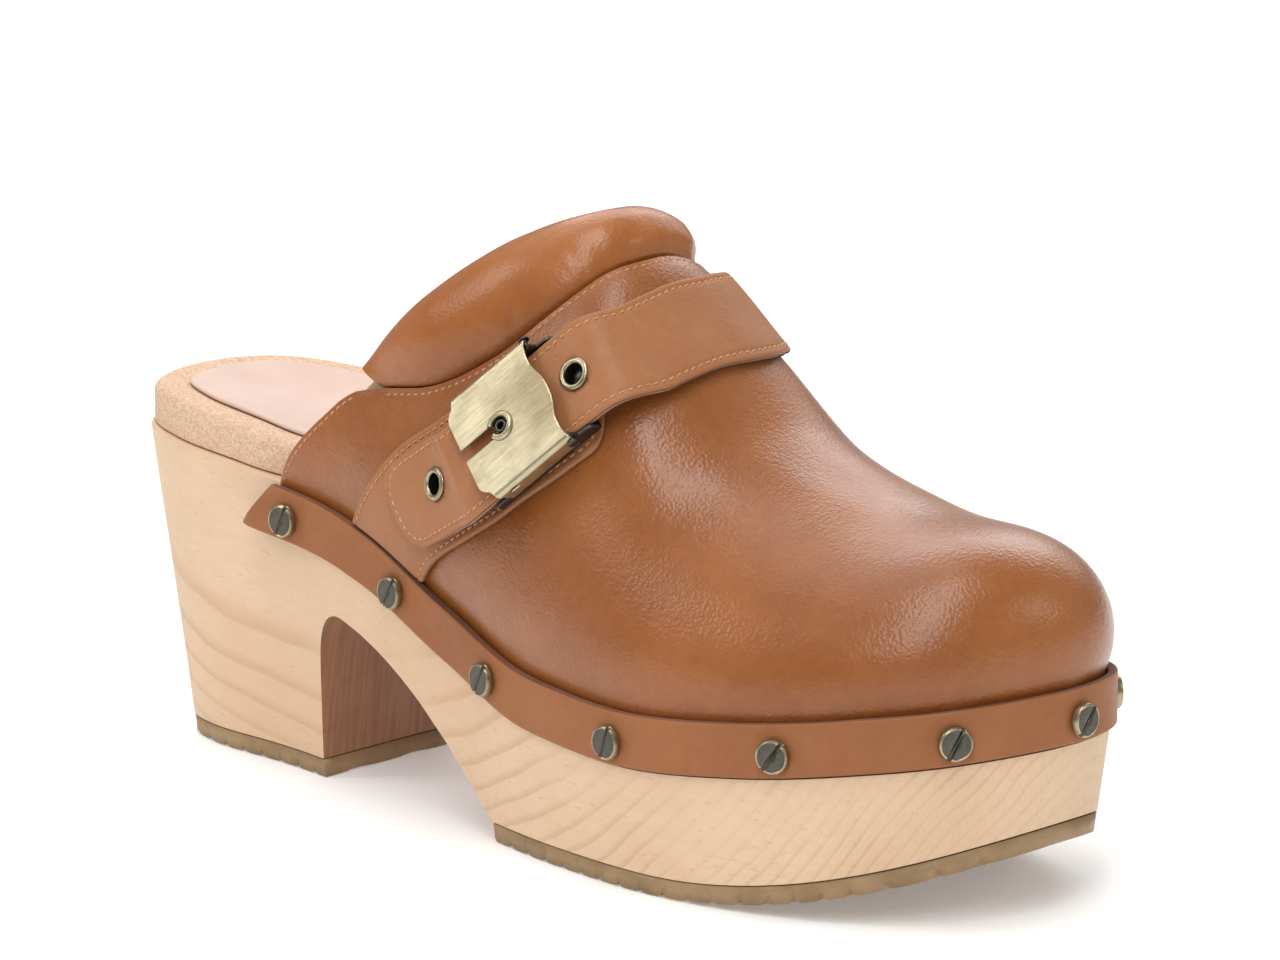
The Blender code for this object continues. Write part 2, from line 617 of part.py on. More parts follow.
def build_buckle_base(coll, cut, mat, tab):
    height = pchip([(-11.5, 2.2), (0, 2.4), (8, 2.8), (10.6, 5.4), (11.2, 5.6), (15.5, 5.6), (17.5, 4.6),
                    (18.4, 3.0)])
    rings = []
    for u in (-11.5, -6, 0, 5, 8, 9.5, 10.6, 11.2, 13.3, 15.5, 17, 18, 18.4):
        h = float(height(u))
        s = [(-RAIL[1], 0), (RAIL[1], 0), (RAIL[1], h), (RAIL[0], h), (RAIL[0], BASE_T),
             (-RAIL[0], BASE_T), (-RAIL[0], h), (-RAIL[1], h)]
        rings.append([(u, a, b) for a, b in s])
    v, f = loft(rings, caps="flat")
    ob = make_object("buckle_base", v, f, mat, coll, buckle_frame(), 30)
    holes = [(0, 0, 1.2, "Z"), (HINGE_U, HINGE_Z, 0.9, "W"), (RIVET_U, 6, 1.1, "Z"), (RIVET_U, -6, 1.1, "Z")]
    for i, (a, b, r, axis) in enumerate(holes):
        hole = hole_cutter("cut_base_%d" % i, a, b, r, axis, cut)
        boolean(ob, hole)
        if a == RIVET_U:
            boolean(tab, hole)
    return ob


def hole_cutter(name, a, b, r, axis, cut):
    v, f = lathe([(0, -20), (r, -20), (r, 20), (0, 20)], 18)
    if axis == "Z":
        v = [(x + a, y + b, z) for x, y, z in v]
    else:
        v = [(x + a, z, y + b) for x, y, z in v]
    return as_cutter(make_object(name, v, f, None, cut, buckle_frame()))


def box_cutter(name, lo, hi, cut):
    v = [(x, y, z) for x in (lo[0], hi[0]) for y in (lo[1], hi[1]) for z in (lo[2], hi[2])]
    f = [(0, 1, 3, 2), (4, 6, 7, 5), (0, 4, 5, 1), (2, 3, 7, 6), (0, 2, 6, 4), (1, 5, 7, 3)]
    return as_cutter(make_object(name, v, f, None, cut, buckle_frame()))


def plate_outline():
    half = [(-8.4, 14.1), (-8.6, 13.2), (-9.2, 11.6), (-10.6, 10.6), (-11.2, 9.4), (-11.3, 7), (-11.3, 2.5)]
    hinge = [(12.4, 7.4), (13.2, 5), (13.9, 2.6), (14.1, 0)]
    a = [(u, w) for u, w in half]
    far = [(10.4, 14.1), (10.4, 11.7), (12.6, 11.7), (12.5, 9.5)] + hinge
    upper = a[::-1] + far
    lower = [(u, -w) for u, w in upper[::-1]]
    return upper + lower[1:]


def build_buckle_cover(coll, cut, mat):
    pts = plate_outline()
    n = len(pts)
    shift = lambda u, w, z: (u - HINGE_U, w, z - HINGE_Z)
    v = [shift(u, w, PLATE_Z0) for u, w in pts] + [shift(u, w, PLATE_Z1) for u, w in pts]
    f = [tuple(range(n))[::-1], tuple(range(n, 2 * n))]
    f += [(i, (i + 1) % n, n + (i + 1) % n, n + i) for i in range(n)]
    frame = buckle_frame() @ Matrix.Translation(Vector((HINGE_U, 0, HINGE_Z)) * MM)
    ob = make_object("buckle_cover", v, f, mat, coll, frame, 30)
    for s in (-1, 1):
        prof = [(-8.4, PLATE_Z1), (-8.4, 4.8), (-7.4, 3.9), (12.0, 3.7), (13.4, 3.7), (14.0, 4.6),
                (14.0, PLATE_Z1 - 0.5), (13.4, PLATE_Z1)]
        lo, hi = sorted((s * FLANGE[0], s * FLANGE[1]))
        m = len(prof)
        v = [shift(u, lo, z) for u, z in prof] + [shift(u, hi, z) for u, z in prof]
        f = [tuple(range(m)), tuple(range(2 * m - 1, m - 1, -1))]
        f += [(i, (i + 1) % m, m + (i + 1) % m, m + i) for i in range(m)]
        side = as_cutter(make_object("add_flange_%d" % (s + 1), v, f, None, cut, frame))
        boolean(ob, side, "UNION")
    v, f = lathe([(0, PLATE_Z0 + 0.2), (3.2, PLATE_Z0 + 0.2), (3.2, PLATE_Z1 + 0.3), (2.9, PLATE_Z1 + 0.8),
                  (2.3, PLATE_Z1 + 0.9), (1.95, PLATE_Z1 + 0.4), (0, PLATE_Z1 + 0.4)], 28)
    rim = as_cutter(make_object("add_rim", v, f, None, cut, buckle_frame()))
    boolean(ob, rim, "UNION")
    boolean(ob, hole_cutter("cut_cover_peg", 0, 0, 2.0, "Z", cut))
    boolean(ob, hole_cutter("cut_cover_pivot", HINGE_U, HINGE_Z, 0.9, "W", cut))
    for name, lo, hi in (("cut_cover_slot", (-13, -SLOT_W, 5), (-0.5, SLOT_W, 9)),
                         ("cut_flange_window", (-5.2, -16, 4.9), (-3.0, 16, 5.6))):
        boolean(ob, box_cutter(name, lo, hi, cut))
    return ob


def build_buckle_small(coll, mats):
    frame = buckle_frame()
    peg = [(0, -0.25), (0.9, -0.25), (0.9, 1.0), (PEG_R, 1.0), (PEG_R, 6.5), (1.35, 6.9), (0.95, 6.9),
           (0.8, 6.6), (0.8, 5.0), (0, 5.0)]
    v, f = lathe(peg, 20)
    make_object("buckle_peg", v, f, mats["dark"], coll, frame)
    for name, s in (("buckle_rivet_upper", 6), ("buckle_rivet_lower", -6)):
        v, f = lathe([(0, -1.8), (0.8, -1.8), (0.8, 0.55), (0.65, 0.68), (0, 0.68)], 14)
        v = [(x + RIVET_U, y + s, z) for x, y, z in v]
        make_object(name, v, f, mats["dark"], coll, frame)
    for name, s in (("buckle_pivot_upper", 1), ("buckle_pivot_lower", -1)):
        v, f = lathe([(0, 11.95), (0.6, 11.95), (0.6, 14.4), (1.2, 14.4), (1.2, 14.7), (0.8, 15.0),
                      (0, 15.0)], 14)
        v = [(x + HINGE_U, s * z, y + HINGE_Z) for x, y, z in v]
        make_object(name, v, f, mats["dark"], coll, frame)


# ---------------------------------------------------------------- welt and screws

def path_points(inset, x_start=61.0):
    """Dense band path round the toe, outer side to inner side, with normals."""
    r = RING - RING_N * np.asarray(inset(RING[:, 0]))[:, None]
    side = RING[:, 1] < 5.5
    k = np.arange(len(RING))
    first = k[(RING[:, 0] >= x_start) & side & (k < TIP)].min()
    last = k[(RING[:, 0] >= x_start) & ~side & (k > TIP)].max()
    seg = slice(first, last + 1)
    s = np.concatenate([[0], np.cumsum(np.linalg.norm(np.diff(RING[seg], axis=0), axis=1))])
    return s, r[seg], RING_N[seg]


def path_at(inset, s, x_start=61.0):
    d, p, n = path_points(inset, x_start)
    q = np.stack([np.interp(s, d, p[:, i]) for i in (0, 1)], -1)
    m = np.stack([np.interp(s, d, n[:, i]) for i in (0, 1)], -1)
    return q, m, d[-1]


def welt_inner(x):
    return rebate(x) - GAP - (VAMP_T + 0.55) * smooth(46, 54, x)


def welt_outer(x):
    return welt_inner(x) - WELT_T


def build_welt(coll, mat):
    start = 50.0
    total = path_at(welt_inner, 0.0, start)[2]
    t = np.linspace(0, 1, 65)
    lean = 11.0
    grids = []
    for inset in (welt_inner, welt_outer):
        rows = []
        for h in (0.0, 0.05, 0.95, 1.0):
            s0 = lean * h
            s = s0 + t * (total - 2 * s0)
            soft = 0.35 if (inset is welt_outer and h in (0.0, 1.0)) else 0.0
            q, m, _ = path_at(lambda x: inset(x) + soft, s, start)
            z = wood_top(q[:, 0]) - (1 - h) * WELT_H + 0.1
            rows.append(np.concatenate([q, z[:, None]], 1))
        grids.append(np.stack(rows, 1))
    v, f = slab(grids[0], grids[1])
    return make_object("welt", v, f, mat, coll, angle=60)


def screw_stations():
    total = path_at(welt_outer, 0.0)[2]
    outer, inner = [4.5, 41.5, 75.5, 118.5, 161, 199], [189, 155, 115, 76, 41.5, 4.5]
    return outer + [total / 2 + 4] + [total - s for s in inner]


def build_screws(coll, cut, mat, pierced):
    body = [(0, -9), (1.3, -9), (1.7, -8), (1.7, 0.6), (3.8, 0.6), (3.8, 1.5), (3.2, 2.1), (0, 2.1)]
    proto = None
    hv, hf = [], []
    for i, s in enumerate(screw_stations(), 1):
        q, m, _ = path_at(welt_outer, float(s))
        run = path_at(welt_outer, s + 3.0)[0] - path_at(welt_outer, s - 3.0)[0]
        n = Vector((run[1], -run[0], 0)).normalized()
        up = Vector((0, 0, 1))
        p = np.array([q[0], q[1], float(wood_top(q[0])) - WELT_H * 0.56])
        turn = (0.9, 1.1, 1.0, 1.05, 1.2, 0.95, 1.1)[i % 7]
        u = (up.cross(n) * math.cos(turn) + up * math.sin(turn)).normalized()
        frame = frame_matrix(p, u, n.cross(u), n)
        if proto is None:
            v, f = lathe(body, 14)
            ob = make_object("welt_screw_01", v, f, mat, coll, frame)
            bar = [(x, y, z) for x in (-5, 5) for y in (-0.5, 0.5) for z in (1.2, 3)]
            bf = [(0, 1, 3, 2), (4, 6, 7, 5), (0, 4, 5, 1), (2, 3, 7, 6), (0, 2, 6, 4), (1, 5, 7, 3)]
            slot = as_cutter(make_object("cut_slot", bar, bf, None, cut, frame))
            boolean(ob, slot)
            bpy.context.view_layer.update()
            dg = bpy.context.evaluated_depsgraph_get()
            proto = bpy.data.meshes.new_from_object(ob.evaluated_get(dg))
            for old in (ob, slot):
                bpy.data.meshes.remove(old.data)
        me = proto.copy()
        me.name = "welt_screw_%02d" % i
        ob = bpy.data.objects.new(me.name, me)
        ob.matrix_world = frame
        coll.objects.link(ob)
        v, f = lathe([(0, -10), (2.0, -10), (2.0, 6), (0, 6)], 10)
        k = len(hv)
        hv += to_table(frame, v)
        hf += [tuple(k + j for j in face) for face in f]
    bpy.data.meshes.remove(proto)
    holes = as_cutter(make_object("cut_screw_holes", hv, hf, None, cut))
    for ob in pierced:
        boolean(ob, holes)


def to_table(frame, verts):
    """Local millimetre points to table coordinates."""
    out = []
    for a in verts:
        w = frame @ (Vector(a) * MM)
        out.append((w.x / MM + X0, w.y / MM + Y0, w.z / MM))
    return out


# ---------------------------------------------------------------- assembly

def main():
    for ob in list(bpy.data.objects):
        bpy.data.objects.remove(ob)
    coll = bpy.data.collections.new("wooden_clog")
    cut = bpy.data.collections.new("cutters")
    bpy.context.scene.collection.children.link(coll)
    bpy.context.scene.collection.children.link(cut)
    mats = {
        "wood": material("wood", (0.80, 0.60, 0.38), 0.55),
        "cork": material("cork", (0.70, 0.47, 0.29), 0.9),
        "leather": material("leather", (0.39, 0.16, 0.06), 0.45),
        "lining": material("lining", (0.72, 0.52, 0.40), 0.7),
        "cloth": material("cloth", (0.75, 0.70, 0.60), 0.95),
        "foam": material("foam", (0.85, 0.80, 0.62), 0.95),
        "rubber": material("rubber", (0.30, 0.19, 0.08), 0.6),
        "brass": material("brass", (0.60, 0.48, 0.26), 0.35, 1.0),
        "dark": material("dark_metal", (0.10, 0.095, 0.08), 0.4, 1.0),
    }
    wood = build_wood(coll, cut, mats["wood"])
    build_outsoles(coll, cut, mats["rubber"])
    build_footbed(coll, mats["cork"], mats["lining"])
    build_upper(coll, mats)
    build_collar(coll, mats)
    tab = build_tab(coll, mats)
    build_strap(coll, cut, mats)
    build_buckle_base(coll, cut, mats["dark"], tab)
    build_buckle_cover(coll, cut, mats["brass"])
    build_buckle_small(coll, mats)
    welt = build_welt(coll, mats["leather"])
    build_screws(coll, cut, mats["dark"], [welt, bpy.data.objects["vamp"], wood])
    bpy.context.view_layer.update()


main()
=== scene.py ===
"""Looks of the wooden platform clog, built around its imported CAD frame.

Tables are in millimetres from the back of the heel, as in the CAD source; X0 and
Y0 carry them to the row frame. Objects are in metres.
"""
import math

import bmesh
import bpy
import numpy as np
from mathutils import Matrix, Vector


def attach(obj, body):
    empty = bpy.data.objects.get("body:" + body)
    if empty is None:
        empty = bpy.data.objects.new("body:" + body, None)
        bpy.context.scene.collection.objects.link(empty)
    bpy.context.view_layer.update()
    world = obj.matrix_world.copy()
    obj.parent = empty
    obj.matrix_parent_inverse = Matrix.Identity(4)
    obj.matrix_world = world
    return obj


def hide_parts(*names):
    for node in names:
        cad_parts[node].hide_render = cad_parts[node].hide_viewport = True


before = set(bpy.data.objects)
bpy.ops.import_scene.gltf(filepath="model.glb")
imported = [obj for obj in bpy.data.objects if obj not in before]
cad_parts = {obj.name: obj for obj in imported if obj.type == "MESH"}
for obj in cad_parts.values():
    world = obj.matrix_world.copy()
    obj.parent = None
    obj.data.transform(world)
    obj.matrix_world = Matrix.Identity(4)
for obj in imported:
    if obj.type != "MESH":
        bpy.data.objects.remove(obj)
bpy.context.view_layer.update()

MM = 0.001
DEG = math.pi / 180
X0, Y0 = 132.49, -3.13
TOE_X = 262.0
GAP = 0.3
WELT_H, WELT_T = 11.8, 2.1
LAYER_GAP = 0.7
VAMP_T, LINING_T, FILL_T = 1.4, 0.9, 1.1
SOLE_T, TAPER = 4.2, 0.13
TREAD_PITCH, TREAD_DEPTH = 6.4, 1.1
EYELET_R = 2.35

# plan outline: x, outer side y, inner side y
OUTLINE = [(0, 0, 0), (6, -20.5, 19.7), (22, -28.5, 29.5), (50, -31.0, 32.5), (85, -35.5, 32.5),
           (120, -40.3, 33.5), (155, -47.0, 38.0), (185, -49.7, 43.0), (212, -46.5, 44.2),
           (234, -38.8, 40.2), (250, -26.4, 30.8), (259, -9.5, 19.5), (262, 5.5, 5.5)]
WOOD_TOP = [(0, 75), (30, 72.5), (65, 68.8), (90, 63.2), (120, 51.3), (150, 42.2), (180, 40.3),
            (210, 42.5), (240, 46.5), (262, 49.5)]
CROWN = [(60, 47), (95, 66), (125, 82), (145, 87.5), (165, 73), (185, 53.5), (205, 42.8),
         (225, 36.2), (242, 33.8), (262, 33.0)]


# ---------------------------------------------------------------- curves and surfaces

def pchip(table):
    """Shape-preserving cubic through (x, y) pairs."""
    t = np.array(table, float)
    x, y = t[:, 0], t[:, 1]
    h, d = np.diff(x), np.diff(y) / np.diff(x)
    m = np.zeros(len(x))
    for i in range(1, len(x) - 1):
        if d[i - 1] * d[i] > 0:
            a, b = 2 * h[i] + h[i - 1], h[i] + 2 * h[i - 1]
            m[i] = (a + b) / (a / d[i - 1] + b / d[i])
    m[0], m[-1] = d[0], d[-1]

    def f(q):
        q = np.clip(np.asarray(q, float), x[0], x[-1])
        k = np.clip(np.searchsorted(x, q) - 1, 0, len(h) - 1)
        s = (q - x[k]) / h[k]
        return ((1 + 2 * s) * (1 - s) ** 2 * y[k] + s * (1 - s) ** 2 * h[k] * m[k]
                + s * s * (3 - 2 * s) * y[k + 1] - s * s * (1 - s) * h[k] * m[k + 1])
    return f


def smooth(a, b, q):
    t = np.clip((np.asarray(q, float) - a) / (b - a), 0, 1)
    return t * t * (3 - 2 * t)


def blend(p, q, a, b, t):
    """Straight blend from p at a to q at b."""
    return ((b - t) * p + (t - a) * q) / (b - a)


def along(p):
    """Running length of a polyline at each of its points."""
    return np.concatenate([[0], np.cumsum(np.linalg.norm(np.diff(p, axis=0), axis=1))])


def closed_spline(points, n=24):
    """Centripetal spline through a closed loop of plan points."""
    p = np.array(points, float)
    m, out = len(p), []
    for i in range(m):
        a, b, c, d = p[i - 1], p[i], p[(i + 1) % m], p[(i + 2) % m]
        t0 = 0.0
        t1 = t0 + np.linalg.norm(b - a) ** 0.5
        t2 = t1 + np.linalg.norm(c - b) ** 0.5
        t3 = t2 + np.linalg.norm(d - c) ** 0.5
        for t in np.linspace(t1, t2, n, endpoint=False):
            a1, a2, a3 = blend(a, b, t0, t1, t), blend(b, c, t1, t2, t), blend(c, d, t2, t3, t)
            out.append(blend(blend(a1, a2, t0, t2, t), blend(a2, a3, t1, t3, t), t1, t2, t))
    return np.array(out)


def plan_ring():
    outer = [(x, a) for x, a, b in OUTLINE]
    inner = [(x, b) for x, a, b in OUTLINE[-2:0:-1]]
    r = closed_spline(outer + inner)
    t = np.roll(r, -1, 0) - np.roll(r, 1, 0)
    n = np.stack([t[:, 1], -t[:, 0]], 1)
    return r, n / np.linalg.norm(n, axis=1)[:, None]


RING, RING_N = plan_ring()
TIP = int(np.argmax(RING[:, 0]))
wood_top = pchip(WOOD_TOP)
crown_table = pchip(CROWN)


def crown(x):
    nose = np.clip((x - 230) / 32.0, 0, 1)
    return crown_table(x) * (1 - nose ** 2.6) ** (1 / 2.2)


def rebate(x):
    return 3.5 * smooth(50, 84, x)


def spring(x):
    return 16.7 * (np.clip(np.asarray(x, float) - 185, 0, None) / 77) ** 2


def half_line(side, inset):
    r = RING - RING_N * np.asarray(inset(RING[:, 0]))[:, None]
    part = r[:TIP + 1] if side < 0 else np.concatenate([r[TIP:], r[:1]])[::-1]
    return part[np.argsort(part[:, 0], kind="stable")]


def ring_at(inset, height, n=110):
    """Closed ring on the inset outline, heel to toe and back."""
    a, b = half_line(-1, inset), half_line(1, inset)
    t = np.linspace(0, 1, n + 1)
    u = 0.3 * t + 0.7 * (0.5 - 0.5 * np.cos(np.pi * t))
    x = a[0, 0] + u * (a[-1, 0] - a[0, 0])
    ya, yb = np.interp(x, a[:, 0], a[:, 1]), np.interp(x, b[:, 0], b[:, 1])
    xs, ys = np.concatenate([x, x[-2:0:-1]]), np.concatenate([ya, yb[-2:0:-1]])
    return np.stack([xs, ys, height(xs)], 1)


def side_table(side):
    keep = np.arange(len(RING))[:TIP + 1] if side < 0 else np.arange(TIP, len(RING))
    keep = keep[RING[keep, 0] > 15]
    o = keep[np.argsort(RING[keep, 0], kind="stable")]
    return RING[o, 0], RING[o, 1], RING_N[o]


SIDES = {-1: side_table(-1), 1: side_table(1)}


def base_width(x, side):
    rx, ry, rn = SIDES[side]
    inset = rebate(x) - GAP - VAMP_T
    return np.interp(x, rx, ry), np.interp(x, rx, rn[:, 0]), np.interp(x, rx, rn[:, 1]), inset


def skin_point(x, th):
    """Outer face of the upper at station x and angle th (0 outer side, pi inner side)."""
    ya, nax, nay, inset = base_width(x, -1)
    yb, nbx, nby, _ = base_width(x, 1)
    c, s = np.cos(th), np.clip(np.sin(th), 0, 1)
    yc, w = (ya + yb) / 2, (yb - ya) / 2
    h = crown(x) * s ** (2 / 2.09)
    y = (yc - w * np.sign(c) * np.abs(c) ** (2 / 2.2)
         + (1.5 + (x - 160) / 60) * s * np.clip(w / 40, 0, 1))
    t = np.clip(h / 46, 0, 1)
    push = 2.5 * 6.75 * t * (1 - t) ** 2 - inset * (1 - smooth(0, 60, h))
    k = (1 - c) / 2
    return np.stack([x + push * (nax * (1 - k) + nbx * k), y + push * (nay * (1 - k) + nby * k),
                     wood_top(x) + h], -1)


def skin(x, th, off=0.0):
    """Upper surface moved out along its normal by off."""
    x, th = np.broadcast_arrays(np.asarray(x, float), np.asarray(th, float))
    xi, ti = np.clip(x, 40, 261.2), np.clip(th, 0.02, np.pi - 0.02)
    dx = skin_point(xi + 0.5, ti) - skin_point(xi - 0.5, ti)
    dt = skin_point(xi, ti + 0.01) - skin_point(xi, ti - 0.01)
    n = np.cross(dx, dt)
    n /= np.linalg.norm(n, axis=-1)[..., None]
    flip = smooth(261.2, 262.0, x)[..., None]
    n = n * (1 - flip) + np.array([1.0, 0, 0]) * flip
    n = n / np.linalg.norm(n, axis=-1)[..., None]
    return skin_point(x, th) + n * np.asarray(off)[..., None]


vamp_edge = pchip([(0, 61), (9, 66), (21, 76), (28, 84.5), (30.2, 93), (34, 107.5), (49.5, 132), (70, 145),
                   (88, 149), (103, 149), (120, 141), (140.5, 120.5), (146, 111.5), (150, 102),
                   (152.5, 88.5), (160, 77), (171, 67), (180, 62)])
rim_edge = pchip([(0, 61), (9, 66), (21, 76), (34, 86.5), (45, 96), (60, 110), (75, 124), (90, 134),
                  (103, 134.5), (116, 128), (130, 116), (145, 98), (160, 80), (171, 69), (180, 62)])


# ---------------------------------------------------------------- mesh helpers

def piece(name, verts, faces, mats, body="clog", nodes=(), local=None, angle=40, index=None):
    """Smooth mesh from millimetre vertices, riding on a body and standing for CAD nodes."""
    v = np.asarray(verts, float)
    if local is None:
        v = v - np.array([X0, Y0, 0])
    me = bpy.data.meshes.new(name)
    me.from_pydata((v * MM).tolist(), [], [tuple(int(i) for i in f) for f in faces])
    for m in mats:
        me.materials.append(m)
    if index is not None:
        me.polygons.foreach_set("material_index", np.asarray(index, np.int32))
    bm = bmesh.new()
    bm.from_mesh(me)
    bmesh.ops.remove_doubles(bm, verts=bm.verts, dist=0.000004)
    bmesh.ops.dissolve_degenerate(bm, edges=bm.edges, dist=0.000002)
    bmesh.ops.recalc_face_normals(bm, faces=bm.faces)
    bm.to_mesh(me)
    bm.free()
    me.shade_smooth()
    me.set_sharp_from_angle(angle=math.radians(angle))
    ob = bpy.data.objects.new(name, me)
    bpy.context.scene.collection.objects.link(ob)
    if local is not None:
        ob.matrix_world = local
    if body:
        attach(ob, body)
        if nodes:
            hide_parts(*nodes)
    return ob


def loft(rings, closed=True, caps="grid"):
    rings = [np.asarray(r, float) for r in rings]
    n, m = len(rings[0]), len(rings)
    f = []
    for j in range(m - 1):
        for i in range(n if closed else n - 1):
            k = (i + 1) % n
            f.append((j * n + i, j * n + k, (j + 1) * n + k, (j + 1) * n + i))
    for base in (0, (m - 1) * n) if caps else ():
        if caps == "flat":
            f.append(tuple(base + i for i in range(n)))
            continue
        for i in range(n // 2):
            q = [base + i, base + i + 1, base + (n - i - 1) % n, base + (n - i) % n]
            f.append(tuple(dict.fromkeys(q)))
    return np.concatenate(rings), f


def slab(lower, upper):
    """Closed solid between two equal point grids, with the rim faces listed last."""
    r, c = lower.shape[:2]
    v = np.concatenate([lower.reshape(-1, 3), upper.reshape(-1, 3)])
    k, f = r * c, []
    for i in range(r - 1):
        for j in range(c - 1):
            a, b, d, e = i * c + j, i * c + j + 1, (i + 1) * c + j + 1, (i + 1) * c + j
            f += [(a, b, d, e), (k + e, k + d, k + b, k + a)]
    rim = [j for j in range(c)] + [i * c + c - 1 for i in range(1, r)]
    rim += [(r - 1) * c + j for j in range(c - 2, -1, -1)] + [i * c for i in range(r - 2, 0, -1)]
    f += [(rim[i], k + rim[i], k + rim[(i + 1) % len(rim)], rim[(i + 1) % len(rim)])
          for i in range(len(rim))]
    return v, f, len(rim)


def lathe(profile, steps, arc=2 * math.pi, start=0.0):
    """Solid of revolution about local Z from (r, z) pairs; a part turn is closed by end faces."""
    v, f, n = [], [], len(profile)
    full = arc > 6.28
    turns = steps if full else steps + 1
    for k in range(turns):
        a = start + arc * k / steps
        v += [(r * math.cos(a), r * math.sin(a), z) for r, z in profile]
    for k in range(steps):
        q = (k + 1) % turns
        for i in range(n - 1):
            f.append((k * n + i, q * n + i, q * n + i + 1, k * n + i + 1))
        if profile[0][0] > 0:
            f.append((k * n + n - 1, q * n + n - 1, q * n, k * n))
    if not full:
        f += [tuple(range(n)), tuple((turns - 1) * n + i for i in range(n))]
    return v, f


def fillet(profile, r, steps=4):
    """Rounds the inner corners of a polyline."""
    out = [profile[0]]
    for a, b, c in zip(profile, profile[1:], profile[2:]):
        a, b, c = (np.array(q, float) for q in (a, b, c))
        u, w = a - b, c - b
        lu, lw = np.linalg.norm(u), np.linalg.norm(w)
        k = min(r, 0.45 * lu, 0.45 * lw)
        p, q = b + u / lu * k, b + w / lw * k
        for t in np.linspace(0, 1, steps + 1):
            out.append(tuple((1 - t) ** 2 * p + 2 * t * (1 - t) * b + t * t * q))
    return out + [profile[-1]]


def edge_steps(width, r=0.6, fine=1.0, middle=3.0):
    """Positions across a band, close together at its rounded edges."""
    near = [0, 0.06 * r, 0.22 * r, 0.5 * r, r]
    d = r
    while d < 3.4:
        d += 0.3 * fine
        near.append(d)
    if 2 * near[-1] + 1 > width:
        near = [q for q in near if q < width / 2 - 0.3]
    mid = np.linspace(near[-1], width - near[-1], max(2, int((width - 2 * near[-1]) / middle)) + 1)
    return np.array(near[:-1] + list(mid) + [width - q for q in near[:-1]][::-1])


def rounded(d, r):
    """Drop of a rounded edge at distance d in from it."""
    q = 1 - np.clip(d / r, 0, 1)
    return r * (1 - np.sqrt(np.clip(1 - q * q, 0, 1)))


def cut(ob, *cutters):
    """Applies exact booleans with (cutter, operation) pairs, then removes the cutters."""
    for c, op in cutters:
        m = ob.modifiers.new("cut", "BOOLEAN")
        m.operation, m.solver, m.object = op, "EXACT", c
    bpy.context.view_layer.update()
    me = bpy.data.meshes.new_from_object(ob.evaluated_get(bpy.context.evaluated_depsgraph_get()))
    ob.modifiers.clear()
    old, ob.data = ob.data, me
    bpy.data.meshes.remove(old)
    for c, _ in cutters:
        bpy.data.objects.remove(c)
    return ob


def tool(name, verts, faces, local=None):
    """Unlisted solid used only by cut()."""
    return piece(name, verts, faces, [], body=None, local=local)


def box_tool(name, lo, hi, local=None):
    v = [(x, y, z) for x in (lo[0], hi[0]) for y in (lo[1], hi[1]) for z in (lo[2], hi[2])]
    f = [(0, 1, 3, 2), (4, 6, 7, 5), (0, 4, 5, 1), (2, 3, 7, 6), (0, 2, 6, 4), (1, 5, 7, 3)]
    return tool(name, v, f, local)


def prism_tool(name, pts, y=90):
    n = len(pts)
    v = [(x, -y, z) for x, z in pts] + [(x, y, z) for x, z in pts]
    f = [tuple(range(n)), tuple(range(2 * n - 1, n - 1, -1))]
    return tool(name, v, f + [(i, (i + 1) % n, n + (i + 1) % n, n + i) for i in range(n)])


# ---------------------------------------------------------------- materials

